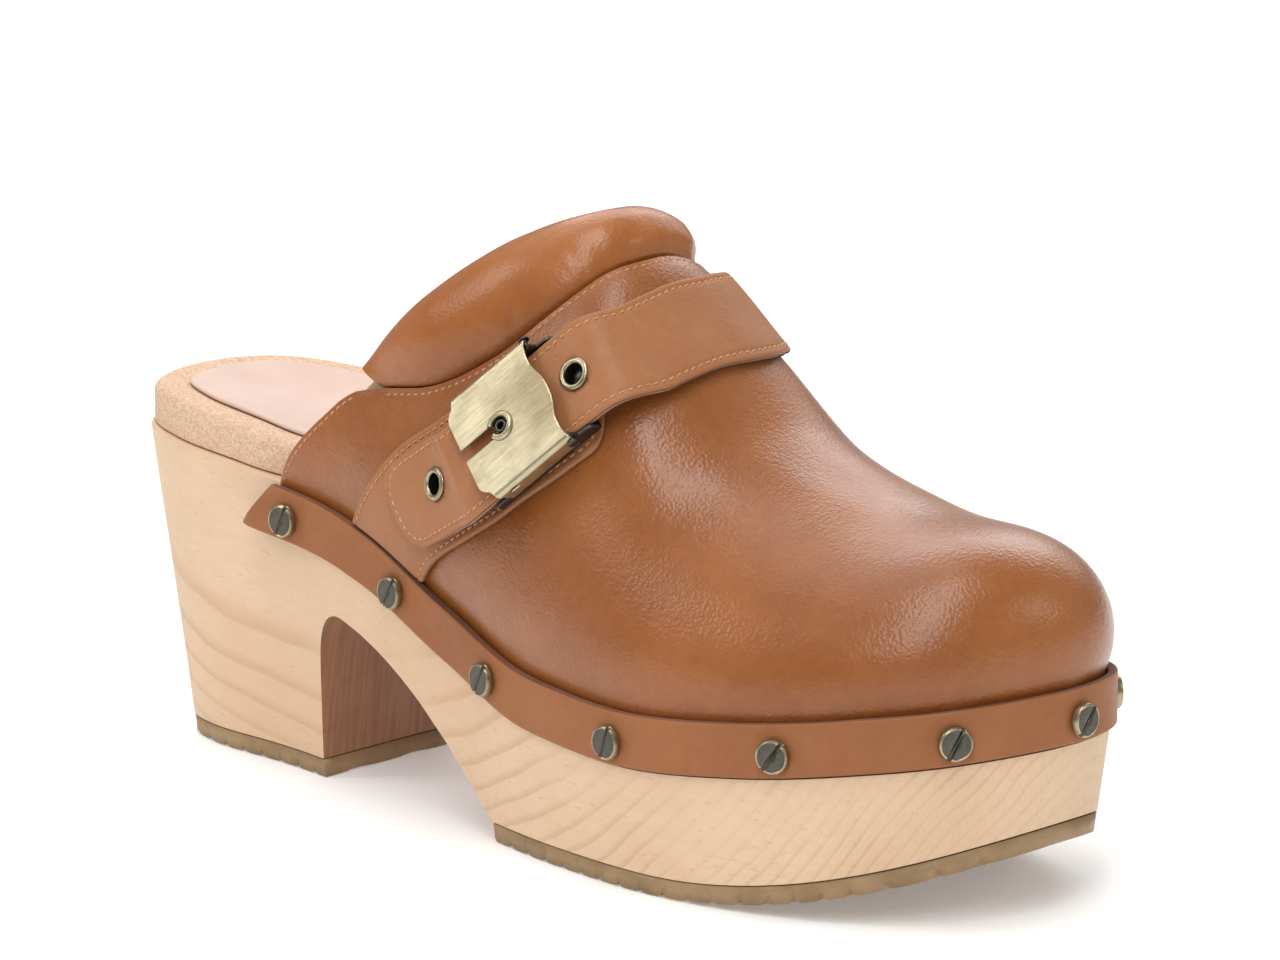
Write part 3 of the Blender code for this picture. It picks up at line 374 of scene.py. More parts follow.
class Nodes:
    """Short calls for building one Principled material's node tree."""

    def __init__(self, name, rough, metal=0.0, **sockets):
        self.m = bpy.data.materials.new(name)
        self.m.use_nodes = True
        self.t = self.m.node_tree
        self.b = self.t.nodes["Principled BSDF"]
        self.b.inputs["Roughness"].default_value = rough
        self.b.inputs["Metallic"].default_value = metal
        for k, v in sockets.items():
            self.b.inputs[k.replace("_", " ")].default_value = v
        self.co = self.t.nodes.new("ShaderNodeTexCoord").outputs["Object"]

    def add(self, kind, out=0, props=(), **sockets):
        n = self.t.nodes.new(kind)
        for k, v in props:
            setattr(n, k, v)
        for k, v in sockets.items():
            s = n.inputs[int(k[1:])] if k[0] == "i" and k[1:].isdigit() else n.inputs[k.replace("_", " ")]
            if isinstance(v, bpy.types.NodeSocket):
                self.t.links.new(v, s)
            else:
                s.default_value = v
        return n.outputs[out]

    def mapped(self, scale, shift=(0, 0, 0)):
        return self.add("ShaderNodeMapping", Vector=self.co, Scale=scale, Location=shift)

    def noise(self, scale, detail=3.0, at=None, rough=0.55, warp=0.0):
        return self.add("ShaderNodeTexNoise", 0, Vector=at or self.co, Scale=scale, Detail=detail,
                        Roughness=rough, Distortion=warp)

    def cells(self, scale, at=None, feature="F1", out=0, jitter=1.0):
        return self.add("ShaderNodeTexVoronoi", out, [("feature", feature)], Vector=at or self.co,
                        Scale=scale, Randomness=jitter)

    def math(self, op, a, b=0.0, clamp=False):
        return self.add("ShaderNodeMath", 0, [("operation", op), ("use_clamp", clamp)], i0=a, i1=b)

    def span(self, v, a, b, c=0.0, d=1.0):
        return self.add("ShaderNodeMapRange", 0, [("interpolation_type", "SMOOTHSTEP")], Value=v,
                        From_Min=a, From_Max=b, To_Min=c, To_Max=d)

    def mix(self, f, a, b, blend="MIX"):
        n = self.t.nodes.new("ShaderNodeMix")
        n.data_type, n.blend_type = "RGBA", blend
        for s, v in ((n.inputs[0], f), (n.inputs[6], a), (n.inputs[7], b)):
            if isinstance(v, bpy.types.NodeSocket):
                self.t.links.new(v, s)
            else:
                s.default_value = v if not isinstance(v, tuple) else (*v, 1)
        return n.outputs[2]

    def bump(self, height, distance, strength=1.0, after=None):
        n = self.t.nodes.new("ShaderNodeBump")
        n.inputs["Distance"].default_value = distance
        n.inputs["Strength"].default_value = strength
        self.t.links.new(height, n.inputs["Height"])
        if after:
            self.t.links.new(after, n.inputs["Normal"])
        return n.outputs[0]

    def done(self, colour, rough=None, normal=None):
        self.t.links.new(colour, self.b.inputs["Base Color"])
        if rough:
            self.t.links.new(rough, self.b.inputs["Roughness"])
        if normal:
            self.t.links.new(normal, self.b.inputs["Normal"])
        return self.m


def leather(name, base, deep, rough=0.42, grain=0.5, coat=0.12):
    n = Nodes(name, rough, Coat_Weight=coat, Coat_Roughness=0.31, Specular_IOR_Level=0.2)
    cloud = n.noise(26, 4, rough=0.6)
    fine = n.noise(420, 3)
    tone = n.span(n.math("ADD", n.math("MULTIPLY", cloud, 0.8), n.math("MULTIPLY", fine, 0.2)), 0.32, 0.68)
    colour = n.mix(tone, deep, base)
    pores = n.cells(1450, feature="SMOOTH_F1")
    folds = n.noise(560, 4, warp=0.6)
    height = n.math("ADD", pores, n.math("MULTIPLY", folds, 0.7))
    normal = n.bump(height, 0.0001, grain)
    dents = n.span(n.noise(60, 3), 0.3, 0.7, rough - 0.06, rough + 0.09)
    m = n.done(colour, dents, normal)
    n.t.links.new(normal, n.b.inputs["Coat Normal"])
    return m


def wood_material():
    n = Nodes("wood_maple", 0.5, Coat_Weight=0.08, Coat_Roughness=0.4)
    sep = n.t.nodes.new("ShaderNodeSeparateXYZ")
    n.t.links.new(n.co, sep.inputs[0])
    x, y, z = sep.outputs
    drift = n.noise(11, 3)
    dx = n.math("ADD", x, 0.0725)
    dz = n.math("SUBTRACT", z, 0.170)
    r = n.math("SQRT", n.math("ADD", n.math("MULTIPLY", dx, dx), n.math("MULTIPLY", dz, dz)))
    r = n.math("ADD", r, n.math("MULTIPLY", y, 0.25))
    r = n.math("ADD", r, n.math("MULTIPLY", drift, 0.016))
    t = n.math("MAXIMUM", n.math("SUBTRACT", n.math("MULTIPLY", r, 1000.0), 112.0), 0.0)
    phase = n.math("DIVIDE", n.math("POWER", t, 2.1), 1150.0)
    f = n.math("FRACT", phase)
    late = n.math("MULTIPLY", n.span(f, 0.55, 0.90, 0.0, 1.0), n.span(f, 0.90, 1.0, 1.0, 0.0))
    faint = n.span(n.noise(23, 2, at=n.mapped((1, 1, 1), (0.3, 0.1, 0.7))), 0.35, 0.62, 0.2, 1.0)
    line = n.math("MULTIPLY", late, faint)
    fibre = n.noise(900, 3, at=n.mapped((0.05, 1, 0.6)))
    fleck = n.span(n.noise(1500, 1, at=n.mapped((0.12, 1, 1))), 0.66, 0.74)
    cloud = n.noise(17, 3)
    back = n.mix(n.span(cloud, 0.35, 0.7), (0.68, 0.46, 0.285), (0.75, 0.545, 0.36))
    back = n.mix(n.math("MULTIPLY", n.span(fibre, 0.35, 0.65), 0.2), back, (0.62, 0.40, 0.24))
    colour = n.mix(n.math("MULTIPLY", line, 0.40), back, (0.48, 0.255, 0.11))
    colour = n.mix(n.math("MULTIPLY", fleck, 0.3), colour, (0.47, 0.26, 0.13))
    # end grain on the breast of the heel and under the arch: its own darker colour plus painted shade on
    # faces turned forwards or downwards, with upright streaks
    turn = n.t.nodes.new("ShaderNodeSeparateXYZ")
    n.t.links.new(n.t.nodes.new("ShaderNodeTexCoord").outputs["Normal"], turn.inputs[0])
    facing = n.math("MAXIMUM", n.span(turn.outputs[0], 0.5, 0.8), n.span(turn.outputs[2], -0.3, -0.7))
    end = n.math("MULTIPLY", facing, n.span(x, 0.01, -0.02))
    end = n.math("MULTIPLY", end, n.span(x, -0.12, -0.105))
    streak = n.noise(620, 3, at=n.mapped((0.3, 1, 0.06)))
    end_grain_shade_colour = n.mix(n.span(streak, 0.35, 0.65), (0.20, 0.060, 0.016), (0.31, 0.108, 0.032))
    # painted shade: the end-grain colour is made very dark where the breast and the arch roof lie in shadow
    colour = n.mix(n.math("MULTIPLY", end, 0.85), colour, end_grain_shade_colour)
    height = n.math("SUBTRACT", n.math("MULTIPLY", fibre, 0.35), n.math("MULTIPLY", line, 0.4))
    return n.done(colour, n.span(cloud, 0.3, 0.7, 0.44, 0.56), n.bump(height, 0.00012, 0.5))


def cork_material():
    n = Nodes("cork_granules", 0.88)
    grain = n.cells(1900, out=1)
    size = n.cells(1900)
    sep = n.t.nodes.new("ShaderNodeSeparateColor")
    n.t.links.new(grain, sep.inputs[0])
    colour = n.mix(sep.outputs[0], (0.60, 0.385, 0.25), (0.76, 0.545, 0.39))
    dark = n.math("MULTIPLY", n.span(n.noise(1900, 2), 0.58, 0.72), 0.55)
    colour = n.mix(dark, colour, (0.36, 0.20, 0.11))
    pale = n.span(n.noise(1300, 2, at=n.mapped((1, 1, 1), (0.4, 0.2, 0.1))), 0.6, 0.7, 0.0, 0.5)
    colour = n.mix(pale, colour, (0.84, 0.64, 0.48))
    height = n.math("ADD", n.math("MULTIPLY", size, -0.8), n.noise(2000, 3))
    return n.done(colour, None, n.bump(height, 0.0002, 0.7))


def rubber_material():
    n = Nodes("gum_rubber", 0.48, Subsurface_Weight=0.15, Subsurface_Scale=0.003)
    tone = n.span(n.noise(90, 4), 0.3, 0.7)
    colour = n.mix(tone, (0.27, 0.165, 0.075), (0.36, 0.235, 0.115))
    return n.done(colour, n.span(n.noise(300, 2), 0.3, 0.7, 0.4, 0.6), n.bump(n.noise(900, 3), 0.0001, 0.4))


def suede(name, base, deep, fuzz=0.4):
    n = Nodes(name, 0.85, Sheen_Weight=0.15, Sheen_Roughness=0.5)
    colour = n.mix(n.span(n.noise(60, 4), 0.3, 0.7), deep, base)
    colour = n.mix(n.math("MULTIPLY", n.span(n.noise(1800, 2), 0.4, 0.7), 0.25), colour, deep)
    return n.done(colour, None, n.bump(n.noise(1500, 4), 0.00012, fuzz))


def woven(name, base, deep):
    n = Nodes(name, 0.95)
    warp, weft = (n.add("ShaderNodeTexWave", 1, [("wave_type", "BANDS"), ("bands_direction", d)],
                        Vector=n.co, Scale=250.0, Distortion=0.4) for d in "XY")
    h = n.math("MAXIMUM", warp, weft)
    return n.done(n.mix(h, deep, base), None, n.bump(h, 0.0002, 0.6))


def brushed(name, base, deep, rough, stretch=(0.05, 1, 1), patina=0.6, fade=0.0):
    """Brushed metal; fade adds painted shade towards local x = 0, which is the hinge edge of the plate."""
    n = Nodes(name, rough, 1.0)
    lines = n.noise(3600, 4, at=n.mapped(stretch), rough=0.7)
    cloud = n.span(n.noise(150, 3), 0.36, 0.72)
    colour = n.mix(n.math("MULTIPLY", cloud, patina), base, deep)
    if fade:
        sep = n.t.nodes.new("ShaderNodeSeparateXYZ")
        n.t.links.new(n.co, sep.inputs[0])
        # painted shade: darker towards the hinge edge, strongest in the middle across the plate
        near = n.span(n.math("ADD", sep.outputs[0], n.math("MULTIPLY", n.noise(90, 3), 0.012)), -0.012, 0.004)
        middle = n.span(n.math("ABSOLUTE", sep.outputs[1]), 0.014, 0.004, 0.25, 1.0)
        colour = n.mix(n.math("MULTIPLY", n.math("MULTIPLY", near, middle), fade), colour, deep)
    colour = n.mix(n.math("MULTIPLY", n.span(lines, 0.35, 0.65), 0.16), colour, deep)
    return n.done(colour, n.span(lines, 0.3, 0.7, rough - 0.06, rough + 0.08),
                  n.bump(lines, 0.00002, 0.2))


def thread_material():
    n = Nodes("thread_tan", 0.6, Sheen_Weight=0.2, Sheen_Roughness=0.4)
    ply = n.noise(2600, 2, at=n.mapped((1, 0.6, 1)))
    colour = n.mix(n.span(ply, 0.3, 0.7), (0.44, 0.20, 0.08), (0.64, 0.33, 0.15))
    return n.done(colour, None, n.bump(ply, 0.0001, 0.5))


TAN, TAN_DEEP = (0.325, 0.106, 0.024), (0.250, 0.074, 0.014)
M = {
    "vamp": leather("leather_vamp", TAN, TAN_DEEP, 0.36, 0.95, 0.65),
    "collar": leather("leather_collar", (0.385, 0.130, 0.031), (0.285, 0.087, 0.017), 0.34, 0.7, 0.5),
    "strap": leather("leather_strap", (0.385, 0.163, 0.069), (0.33, 0.128, 0.050), 0.48, 0.6, 0.1),
    "welt": leather("leather_welt", (0.345, 0.136, 0.052), (0.295, 0.108, 0.040), 0.55, 0.4, 0.05),
    "edge": suede("leather_cut_edge", (0.22, 0.074, 0.027), (0.12, 0.038, 0.016), 0.8),
    "lining": suede("leather_lining", (0.62, 0.42, 0.29), (0.53, 0.35, 0.23)),
    "liner": suede("leather_sock", (0.70, 0.52, 0.44), (0.65, 0.47, 0.39), 0.25),
    "cloth": woven("interlining_cloth", (0.75, 0.70, 0.60), (0.60, 0.55, 0.46)),
    "wood": wood_material(),
    "cork": cork_material(),
    "rubber": rubber_material(),
    "brass": brushed("brass_antique_hinge_shade", (0.60, 0.525, 0.36), (0.24, 0.19, 0.105), 0.36, patina=0.4, fade=0.75),
    "eyelet": brushed("brass_eyelet", (0.46, 0.40, 0.26), (0.18, 0.15, 0.09), 0.32, (1, 1, 1)),
    "dark": brushed("metal_dark", (0.10, 0.095, 0.085), (0.045, 0.042, 0.038), 0.36, (1, 1, 1)),
    "gun": brushed("metal_gunmetal", (0.125, 0.115, 0.095), (0.06, 0.055, 0.047), 0.40, (1, 0.08, 1)),
    "thread": thread_material(),
    # painted shade: near-black rings standing for the shade inside the needle holes
    "hole": suede("needle_hole_shade", (0.05, 0.018, 0.008), (0.03, 0.01, 0.005)),
    "foam": suede("foam", (0.85, 0.80, 0.62), (0.75, 0.70, 0.52)),
}


# ---------------------------------------------------------------- wood and soles

def wall_inset(x):
    return 1.5 - 0.9 * smooth(50, 84, x)


def underside():
    """Heel seat, breast, rounded arch, ramp and rocking forefoot, as one soft line."""
    seat = SOLE_T + GAP
    raw = [(66.0, seat), (68.0, 20), (69.6, 31), (71.2, 36.3), (74.2, 40), (77.4, 41.1), (83, 39.8),
           (91.5, 36.4), (99.5, 32), (106.5, 27.3), (112, 22.8), (117, 18.6), (122, 13.6), (127, 8.6),
           (131.5, seat)]
    p = np.array(raw)
    s = along(p)
    fx, fz = (pchip(np.stack([s, p[:, i]], 1)) for i in (0, 1))
    q = np.linspace(0, s[-1], 90)
    arch = list(zip(fx(q), fz(q)))
    toe = [(x, seat + float(spring(x))) for x in np.linspace(185, 275, 46)]
    return [(-20, seat)] + arch + toe


def build_wood():
    levels = [(lambda x: wall_inset(x) + TAPER * (wood_top(x) - 10), lambda x: 0 * x - 2),
              (wall_inset, lambda x: wood_top(x) - 12.2),
              (lambda x: np.maximum(wall_inset(x) - 0.02, rebate(x)) * smooth(50, 62, x)
               + (wall_inset(x) - 0.02) * (1 - smooth(50, 62, x)), lambda x: wood_top(x) - 12.05),
              (lambda x: rebate(x), lambda x: wood_top(x) - 0.7),
              (lambda x: rebate(x) + 0.2, lambda x: wood_top(x) - 0.2),
              (lambda x: rebate(x) + 0.7, lambda x: wood_top(x))]
    v, f = loft([ring_at(a, b) for a, b in levels])
    ob = piece("carved_wood", v, f, [M["wood"]], nodes=["wood_platform"], angle=35)
    cut(ob, (prism_tool("under", underside() + [(275, -20), (-20, -20)]), "DIFFERENCE"))
    soften(ob, 0.5, 35)


def soften(ob, width, angle):
    """Rounds sharp edges with a bevel, kept as a modifier."""
    b = ob.modifiers.new("soft_edges", "BEVEL")
    b.width, b.segments, b.limit_method = width * MM, 2, "ANGLE"
    b.angle_limit = math.radians(angle)
    b.harden_normals = False
    b.use_clamp_overlap = True
    b.miter_outer = "MITER_ARC"
    w = ob.modifiers.new("even_shading", "WEIGHTED_NORMAL")
    w.weight, w.keep_sharp = 90, True


def tread_grid(x0, x1, rise, top):
    """Solid whose underside is waved ribs parted by narrow nicks."""
    xs = np.arange(x0 - 2, x1 + 2, 0.3)
    ys = np.linspace(-60, 60, 49)
    X, Y = np.meshgrid(xs, ys, indexing="ij")
    q = ((X + 0.9 * np.sin(Y / 2.9)) / TREAD_PITCH) % 1.0
    nick = TREAD_DEPTH * (1 - smooth(0.02, 0.15, np.abs(q - 0.5)))
    lobe = 0.45 * (2 * np.abs(q - 0.5) - 1) ** 4
    low = np.stack([X, Y, rise(X) + np.maximum(nick, lobe)], -1)
    high = np.stack([X, Y, top(X)], -1)
    v, f, _ = slab(low, high)
    return v, f


def build_outsoles():
    low = lambda x: wall_inset(x) + TAPER * (wood_top(x) - 9) + 0.1
    high = lambda x: wall_inset(x) + 0.1
    for name, node, x0, x1, rise in (("heel_tread", "heel_outsole", -4, 66, lambda x: 0 * x),
                                     ("forefoot_tread", "forefoot_outsole", 131.8, 264, spring)):
        v, f = loft([ring_at(low, lambda x: 0 * x - 3), ring_at(high, lambda x: wood_top(x) - 12.2)])
        ob = piece(name, v, f, [M["rubber"]], nodes=[node], angle=28)
        v, f = tread_grid(x0, x1, rise, lambda x: SOLE_T + rise(x))
        t = tool("tread", v, f)
        lim = box_tool("limit", (x0 if x0 > 0 else -20, -80, -5), (x1 if x0 < 0 else 300, 80, 60))
        cut(ob, (t, "INTERSECT"), (lim, "INTERSECT"))


# ---------------------------------------------------------------- footbed

def cork_inset(x):
    return 0.9 + (rebate(x) + 3.6 - 0.9) * smooth(48, 64, x)


def footbed(x, d):
    rim = pchip([(0, 9.8), (30, 9.4), (60, 8.2), (90, 6.0), (130, 4.6), (262, 4.2)])(x)
    dish = pchip([(0, 3.2), (60, 3.0), (110, 1.0), (262, 0.6)])(x)
    edge = 2.4 * (1 - np.sqrt(np.clip(1 - (1 - np.clip(d / 2.6, 0, 1)) ** 2, 0, 1)))
    return wood_top(x) + rim - edge - dish * smooth(3, 20, d)


def build_footbed():
    def inset(d):
        return lambda x: cork_inset(x) + d

    def at(d, up=0.0):
        return lambda x: footbed(x, d) + up
    rings = [ring_at(inset(0.6), lambda x: wood_top(x) + GAP),
             ring_at(inset(0.15), lambda x: wood_top(x) + GAP + 0.15),
             ring_at(inset(0.0), lambda x: wood_top(x) + GAP + 0.6)]
    rings += [ring_at(inset(d), at(d)) for d in (0, 0.12, 0.35, 0.7, 1.15, 1.7, 2.6, 4, 6, 8, 10, 13, 17, 20)]
    v, f = loft(rings)
    piece("cork_bed", v, f, [M["cork"]], nodes=["cork_footbed"], angle=50)
    rings = [ring_at(inset(d), at(d, GAP)) for d in (20, 17, 13, 10, 8.6)]
    rings += [ring_at(inset(8.2), at(8.4, GAP + 0.35)), ring_at(inset(8.3), at(8.4, GAP + 0.8)),
              ring_at(inset(8.7), at(8.7, GAP + 1.1))]
    rings += [ring_at(inset(d), at(d, GAP + 1.2)) for d in (9.3, 10, 13, 17, 20)]
    v, f = loft(rings)
    piece("sock_lining", v, f, [M["liner"]], nodes=["sock_liner"], angle=60)


# ---------------------------------------------------------------- vamp and lining

def hood_grid(edge, stations, angles, off):
    """Points over the foot from a rear edge to the toe; off is a height or a function."""
    e = edge(angles / DEG)
    x = e[None] + stations[:, None] * (TOE_X - e[None])
    th = np.broadcast_to(angles, x.shape)
    o = off(x, th, x - e[None]) if callable(off) else off * np.ones_like(x)
    return skin(x, th, o)


def hood_piece(name, node, edge, off, thick, mats, margin=(3, 9.2), na=150, nx=130):
    """Thick open hood: rounded rear edge, lasting margin below the feather line."""
    th = np.concatenate([np.linspace(0, 28, 26), np.linspace(28, 152.5, na - 50)[1:],
                         np.linspace(152.5, 180, 26)[1:]]) * DEG
    st = np.concatenate([np.array([0, 0.0003, 0.0012, 0.003, 0.006, 0.010]),
                         1 - (1 - np.linspace(0.014, 1, nx)) ** 1.3])
    run = st[:, None] * (TOE_X - edge(th / DEG)[None])
    drop = rounded(run, 0.55)
    outer = hood_grid(edge, st, th, lambda x, t, r: off - drop + relief(x, t, r))
    inner = hood_grid(edge, st, th, lambda x, t, r: off - thick + 0.3 * drop)
    r, c = outer.shape[:2]
    verts, faces, idx = [inner.reshape(-1, 3), outer.reshape(-1, 3)], [], []
    k = r * c
    for i in range(r - 1):
        for j in range(c - 1):
            a, b, d, e = i * c + j, i * c + j + 1, (i + 1) * c + j + 1, (i + 1) * c + j
            faces += [(a, b, d, e), (k + e, k + d, k + b, k + a)]
            idx += [1, 0]
    faces += [(i, k + i, k + i + 1, i + 1) for i in range(c - 1)]
    idx += [2] * (c - 1)
    # base line runs down the outer side to the tip and back up the inner side
    line = [i * c for i in range(r)] + [i * c + c - 1 for i in range(r - 1, -1, -1)]
    pts = {0: [inner.reshape(-1, 3)[line]], 1: [outer.reshape(-1, 3)[line]]}
    start, last = 2 * k, {0: line, 1: [k + q for q in line]}
    for d in margin:
        cur = {}
        for s in (0, 1):
            verts.append(pts[s][0] - np.array([0, 0, d]))
            cur[s] = list(range(start, start + len(line)))
            start += len(line)
        for q in range(len(line) - 1):
            faces.append((last[0][q], last[0][q + 1], cur[0][q + 1], cur[0][q]))
            faces.append((last[1][q + 1], last[1][q], cur[1][q], cur[1][q + 1]))
            idx += [1, 0]
        for q in (0, -1):
            faces.append((last[0][q], cur[0][q], cur[1][q], last[1][q]))
            idx.append(2)
        last = cur
    for q in range(len(line) - 1):
        faces.append((last[0][q], last[0][q + 1], last[1][q + 1], last[1][q]))
        idx.append(2)
    return piece(name, np.concatenate(verts), faces, mats, nodes=[node], angle=70, index=idx)


def relief(x, th, run):
    """Small swells and stitch valleys of the vamp leather near its mouth."""
    t = th / DEG
    valley = -0.16 * np.exp(-((run - 1.5) / 0.5) ** 2)
    pucker = 0.05 * np.sin(t * 2.1) * np.exp(-run / 3.5)
    soft = 0.22 * np.sin(x / 7.0 + 2.0 * np.sin(t / 9)) * np.sin(t / 5.5 + x / 23) * smooth(2, 16, run)
    fade = smooth(0, 6, t) * (1 - smooth(174, 180, t)) * (1 - smooth(195, 240, x))
    return (valley + pucker + 0.35 * soft) * fade


def build_vamp():
    hood_piece("vamp_leather", "vamp", vamp_edge, 0.0, VAMP_T, [M["vamp"], M["lining"], M["edge"]])
    depth = -VAMP_T - FILL_T - 2 * LAYER_GAP
    th = np.linspace(0, 180, 121) * DEG
    st = 1 - (1 - np.linspace(0, 1, 91)) ** 1.3
    edge = lambda t: rim_edge(t) + 1.0
    v, f, _ = slab(hood_grid(edge, st, th, depth - LINING_T), hood_grid(edge, st, th, depth))
    piece("foot_lining", v, f, [M["lining"]], nodes=["vamp_lining"], angle=60)


# ---------------------------------------------------------------- padded collar

COLLAR_RIM = [(0, 86, 33.5), (0.1, 93, 41.5), (0.25, 109, 59), (0.4, 125, 76), (0.5, 133.5, 89),
              (0.6, 134.5, 103), (0.72, 126, 119), (0.86, 109, 136), (1, 96, 146.5)]
COLLAR_SEAM = [(0, 93, 30.2), (0.1, 107.5, 34), (0.25, 131.7, 49.5), (0.4, 144.4, 70), (0.5, 148.5, 88),
               (0.6, 148.6, 103), (0.72, 140.8, 120), (0.86, 121, 139.5), (1, 102, 150)]


def collar_sections(n=130, m=56):
    rim = [pchip([(a, q[i]) for a, *q in COLLAR_RIM]) for i in (0, 1)]
    seam = [pchip([(a, q[i]) for a, *q in COLLAR_SEAM]) for i in (0, 1)]
    out = []
    for k in np.linspace(0, 1, n + 1):
        rx, rt, sx, st = rim[0](k), rim[1](k) * DEG, seam[0](k), seam[1](k) * DEG
        w = np.linalg.norm(skin(sx, st, 0.0) - skin(rx, rt, 0.0))
        g = 0.22 + 0.78 * float(smooth(-0.02, 0.2, k) * (1 - smooth(0.8, 1.02, k)))
        base = [(0.2 * w, -2.9), (0.05 * w, -2.7), (-0.05 * w, -1.6), (-0.08 * w, 0.9 * g),
                (-0.03 * w, 3.7 * g), (0.11 * w, 6.0 * g), (0.32 * w, 7.0 * g), (0.52 * w, 6.5 * g),
                (0.70 * w, 5.0 * g), (0.84 * w, 3.0 * g), (w - 1.3, 0.5 + 0.4 * g), (w - 0.5, -0.4),
                (w - 0.35, -1.7), (w + 3, -2.1)]
        p = np.array(base)
        s = along(p)
        q = np.concatenate([np.linspace(0, s[-3], m - 6), np.linspace(s[-3], s[-1], 7)[1:]])
        p = np.stack([pchip(np.stack([s, p[:, i]], 1))(q) for i in (0, 1)], 1)
        near = smooth(0.45, 0.95, p[:, 0] / w) * (1 - smooth(0.97, 1.0, p[:, 0] / w))
        p[:, 1] += 0.16 * g * near * np.sin(k * 260 + 3 * math.sin(k * 37))
        a = p[:, 0] / w
        out.append(skin(rx + (sx - rx) * a, rt + (st - rt) * a, p[:, 1]))
    return out


def build_collar():
    outer = np.array(collar_sections())
    nrm = np.cross(np.gradient(outer, axis=0), np.gradient(outer, axis=1))
    nrm /= np.linalg.norm(nrm, axis=2)[..., None] + 1e-9
    mid = outer[len(outer) // 2, 20]
    if np.dot(nrm[len(outer) // 2, 20], mid - outer[len(outer) // 2].mean(0)) > 0:
        nrm = -nrm
    inner = outer + nrm * 1.1
    v, f = loft([np.concatenate([a, b[::-1]]) for a, b in zip(outer, inner)], caps="flat")
    ob = piece("collar_roll", v, f, [M["collar"]], nodes=["collar_cover"], angle=60)


# ---------------------------------------------------------------- strap and tab

PEG_AT = (143.5, 34.0)
FRAME_N = Vector((0.04, -0.91, 0.41)).normalized()
STRAP_DIR = Vector((0.675, 0.328, 0.661))
FRAME_U = (STRAP_DIR - FRAME_N * STRAP_DIR.dot(FRAME_N)).normalized()
FRAME_W = FRAME_N.cross(FRAME_U)
FRAME_O = skin(PEG_AT[0], PEG_AT[1] * DEG, 3.35)
BASE_T, BACK_T, STRAP_T, PLY_GAP = 0.7, 0.7, 1.2, 0.5
STRAP_Z = BASE_T + GAP
STRAP_TOP = BACK_T + PLY_GAP + STRAP_T
PEG_V, STRAP_W = 46.0, 23.4
STRAP_LEN, TAB_LEN, TAB_W = 204.0, 74.0, 28.0
ROUND_END = 26.0  # length over which a rounded end bows in
STRAP = [(0, 100.7, 15, 114.7, 6.9), (18.5, 116.0, 25, 131.0, 15), (32, 126.1, 30.4, 143.6, 21.4),
         (46, 135.2, 39.1, 152.1, 30.6), (64.5, 146.5, 52.1, 162, 46.2), (81, 153.7, 66.8, 169.9, 66.8),
         (92.5, 155.6, 79.3, 171.3, 80.3), (105, 155.9, 91.5, 171.6, 93), (113.5, 154.8, 100.8, 170.8, 102),
         (134, 147, 122, 164.2, 121), (152, 136.5, 138, 153.8, 135.5), (169, 124, 152, 141, 149),
         (189, 110, 166, 127, 163), (204, 101, 178.3, 117.5, 178.3)]
TAB = [(0, 87, 1.2, 112, 1.2), (9, 94.1, 10.3, 117.6, 6.2), (22, 103.3, 20.8, 129.1, 13.3),
       (36.5, 115, 29.6, 141.7, 21), (52.5, 128.9, 39.7, 154, 30.6), (67.5, 141.9, 50.1, 162.8, 43),
       (74, 146.6, 55.6, 165.5, 48.8)]
HOLES = [("end", 18.5), ("peg", PEG_V), ("upper", 65.6)]
RISE = pchip([(0, 2.6), (18.5, 4.6), (32, 7.2), (46, 4.7), (64.5, 4.5), (81, 1.9), (92.5, 0.9), (105, 0.5),
              (204, 0.5)])


def band_map(table):
    """Maps distance along and share across a band to station and angle."""
    cols = [pchip([(r[0], r[i]) for r in table]) for i in range(1, 5)]

    def f(v, w):
        x = cols[0](v) * (1 - w) + cols[2](v) * w
        return x, (cols[1](v) * (1 - w) + cols[3](v) * w) * DEG
    return f


strap_map, tab_map = band_map(STRAP), band_map(TAB)


def strap_face(v, w, up=0.0):
    """Point up above the strap's outer face: it follows the foot, and is flat in the buckle."""
    v, w = np.asarray(v, float), np.asarray(w, float)
    x, th = strap_map(v, w)
    p = skin(x, th, RISE(v) + STRAP_TOP + up)
    k = smooth(22, 33, v) * (1 - smooth(64, 82, v))
    flat = (FRAME_O + np.multiply.outer(v - PEG_V, np.array(FRAME_U))
            + np.multiply.outer((0.5 - w) * STRAP_W, np.array(FRAME_W))
            + np.multiply.outer(STRAP_Z + STRAP_TOP + up + 0 * v, np.array(FRAME_N)))
    return p + k[..., None] * (flat - p)


def tab_face(v, w, up=0.0):
    x, th = tab_map(v, w)
    return skin(x, th, 1.8 + up)


def bow(w):
    return 1 - np.sqrt(np.clip(1 - np.abs(2 * w - 1) ** 2.6, 0, 1))


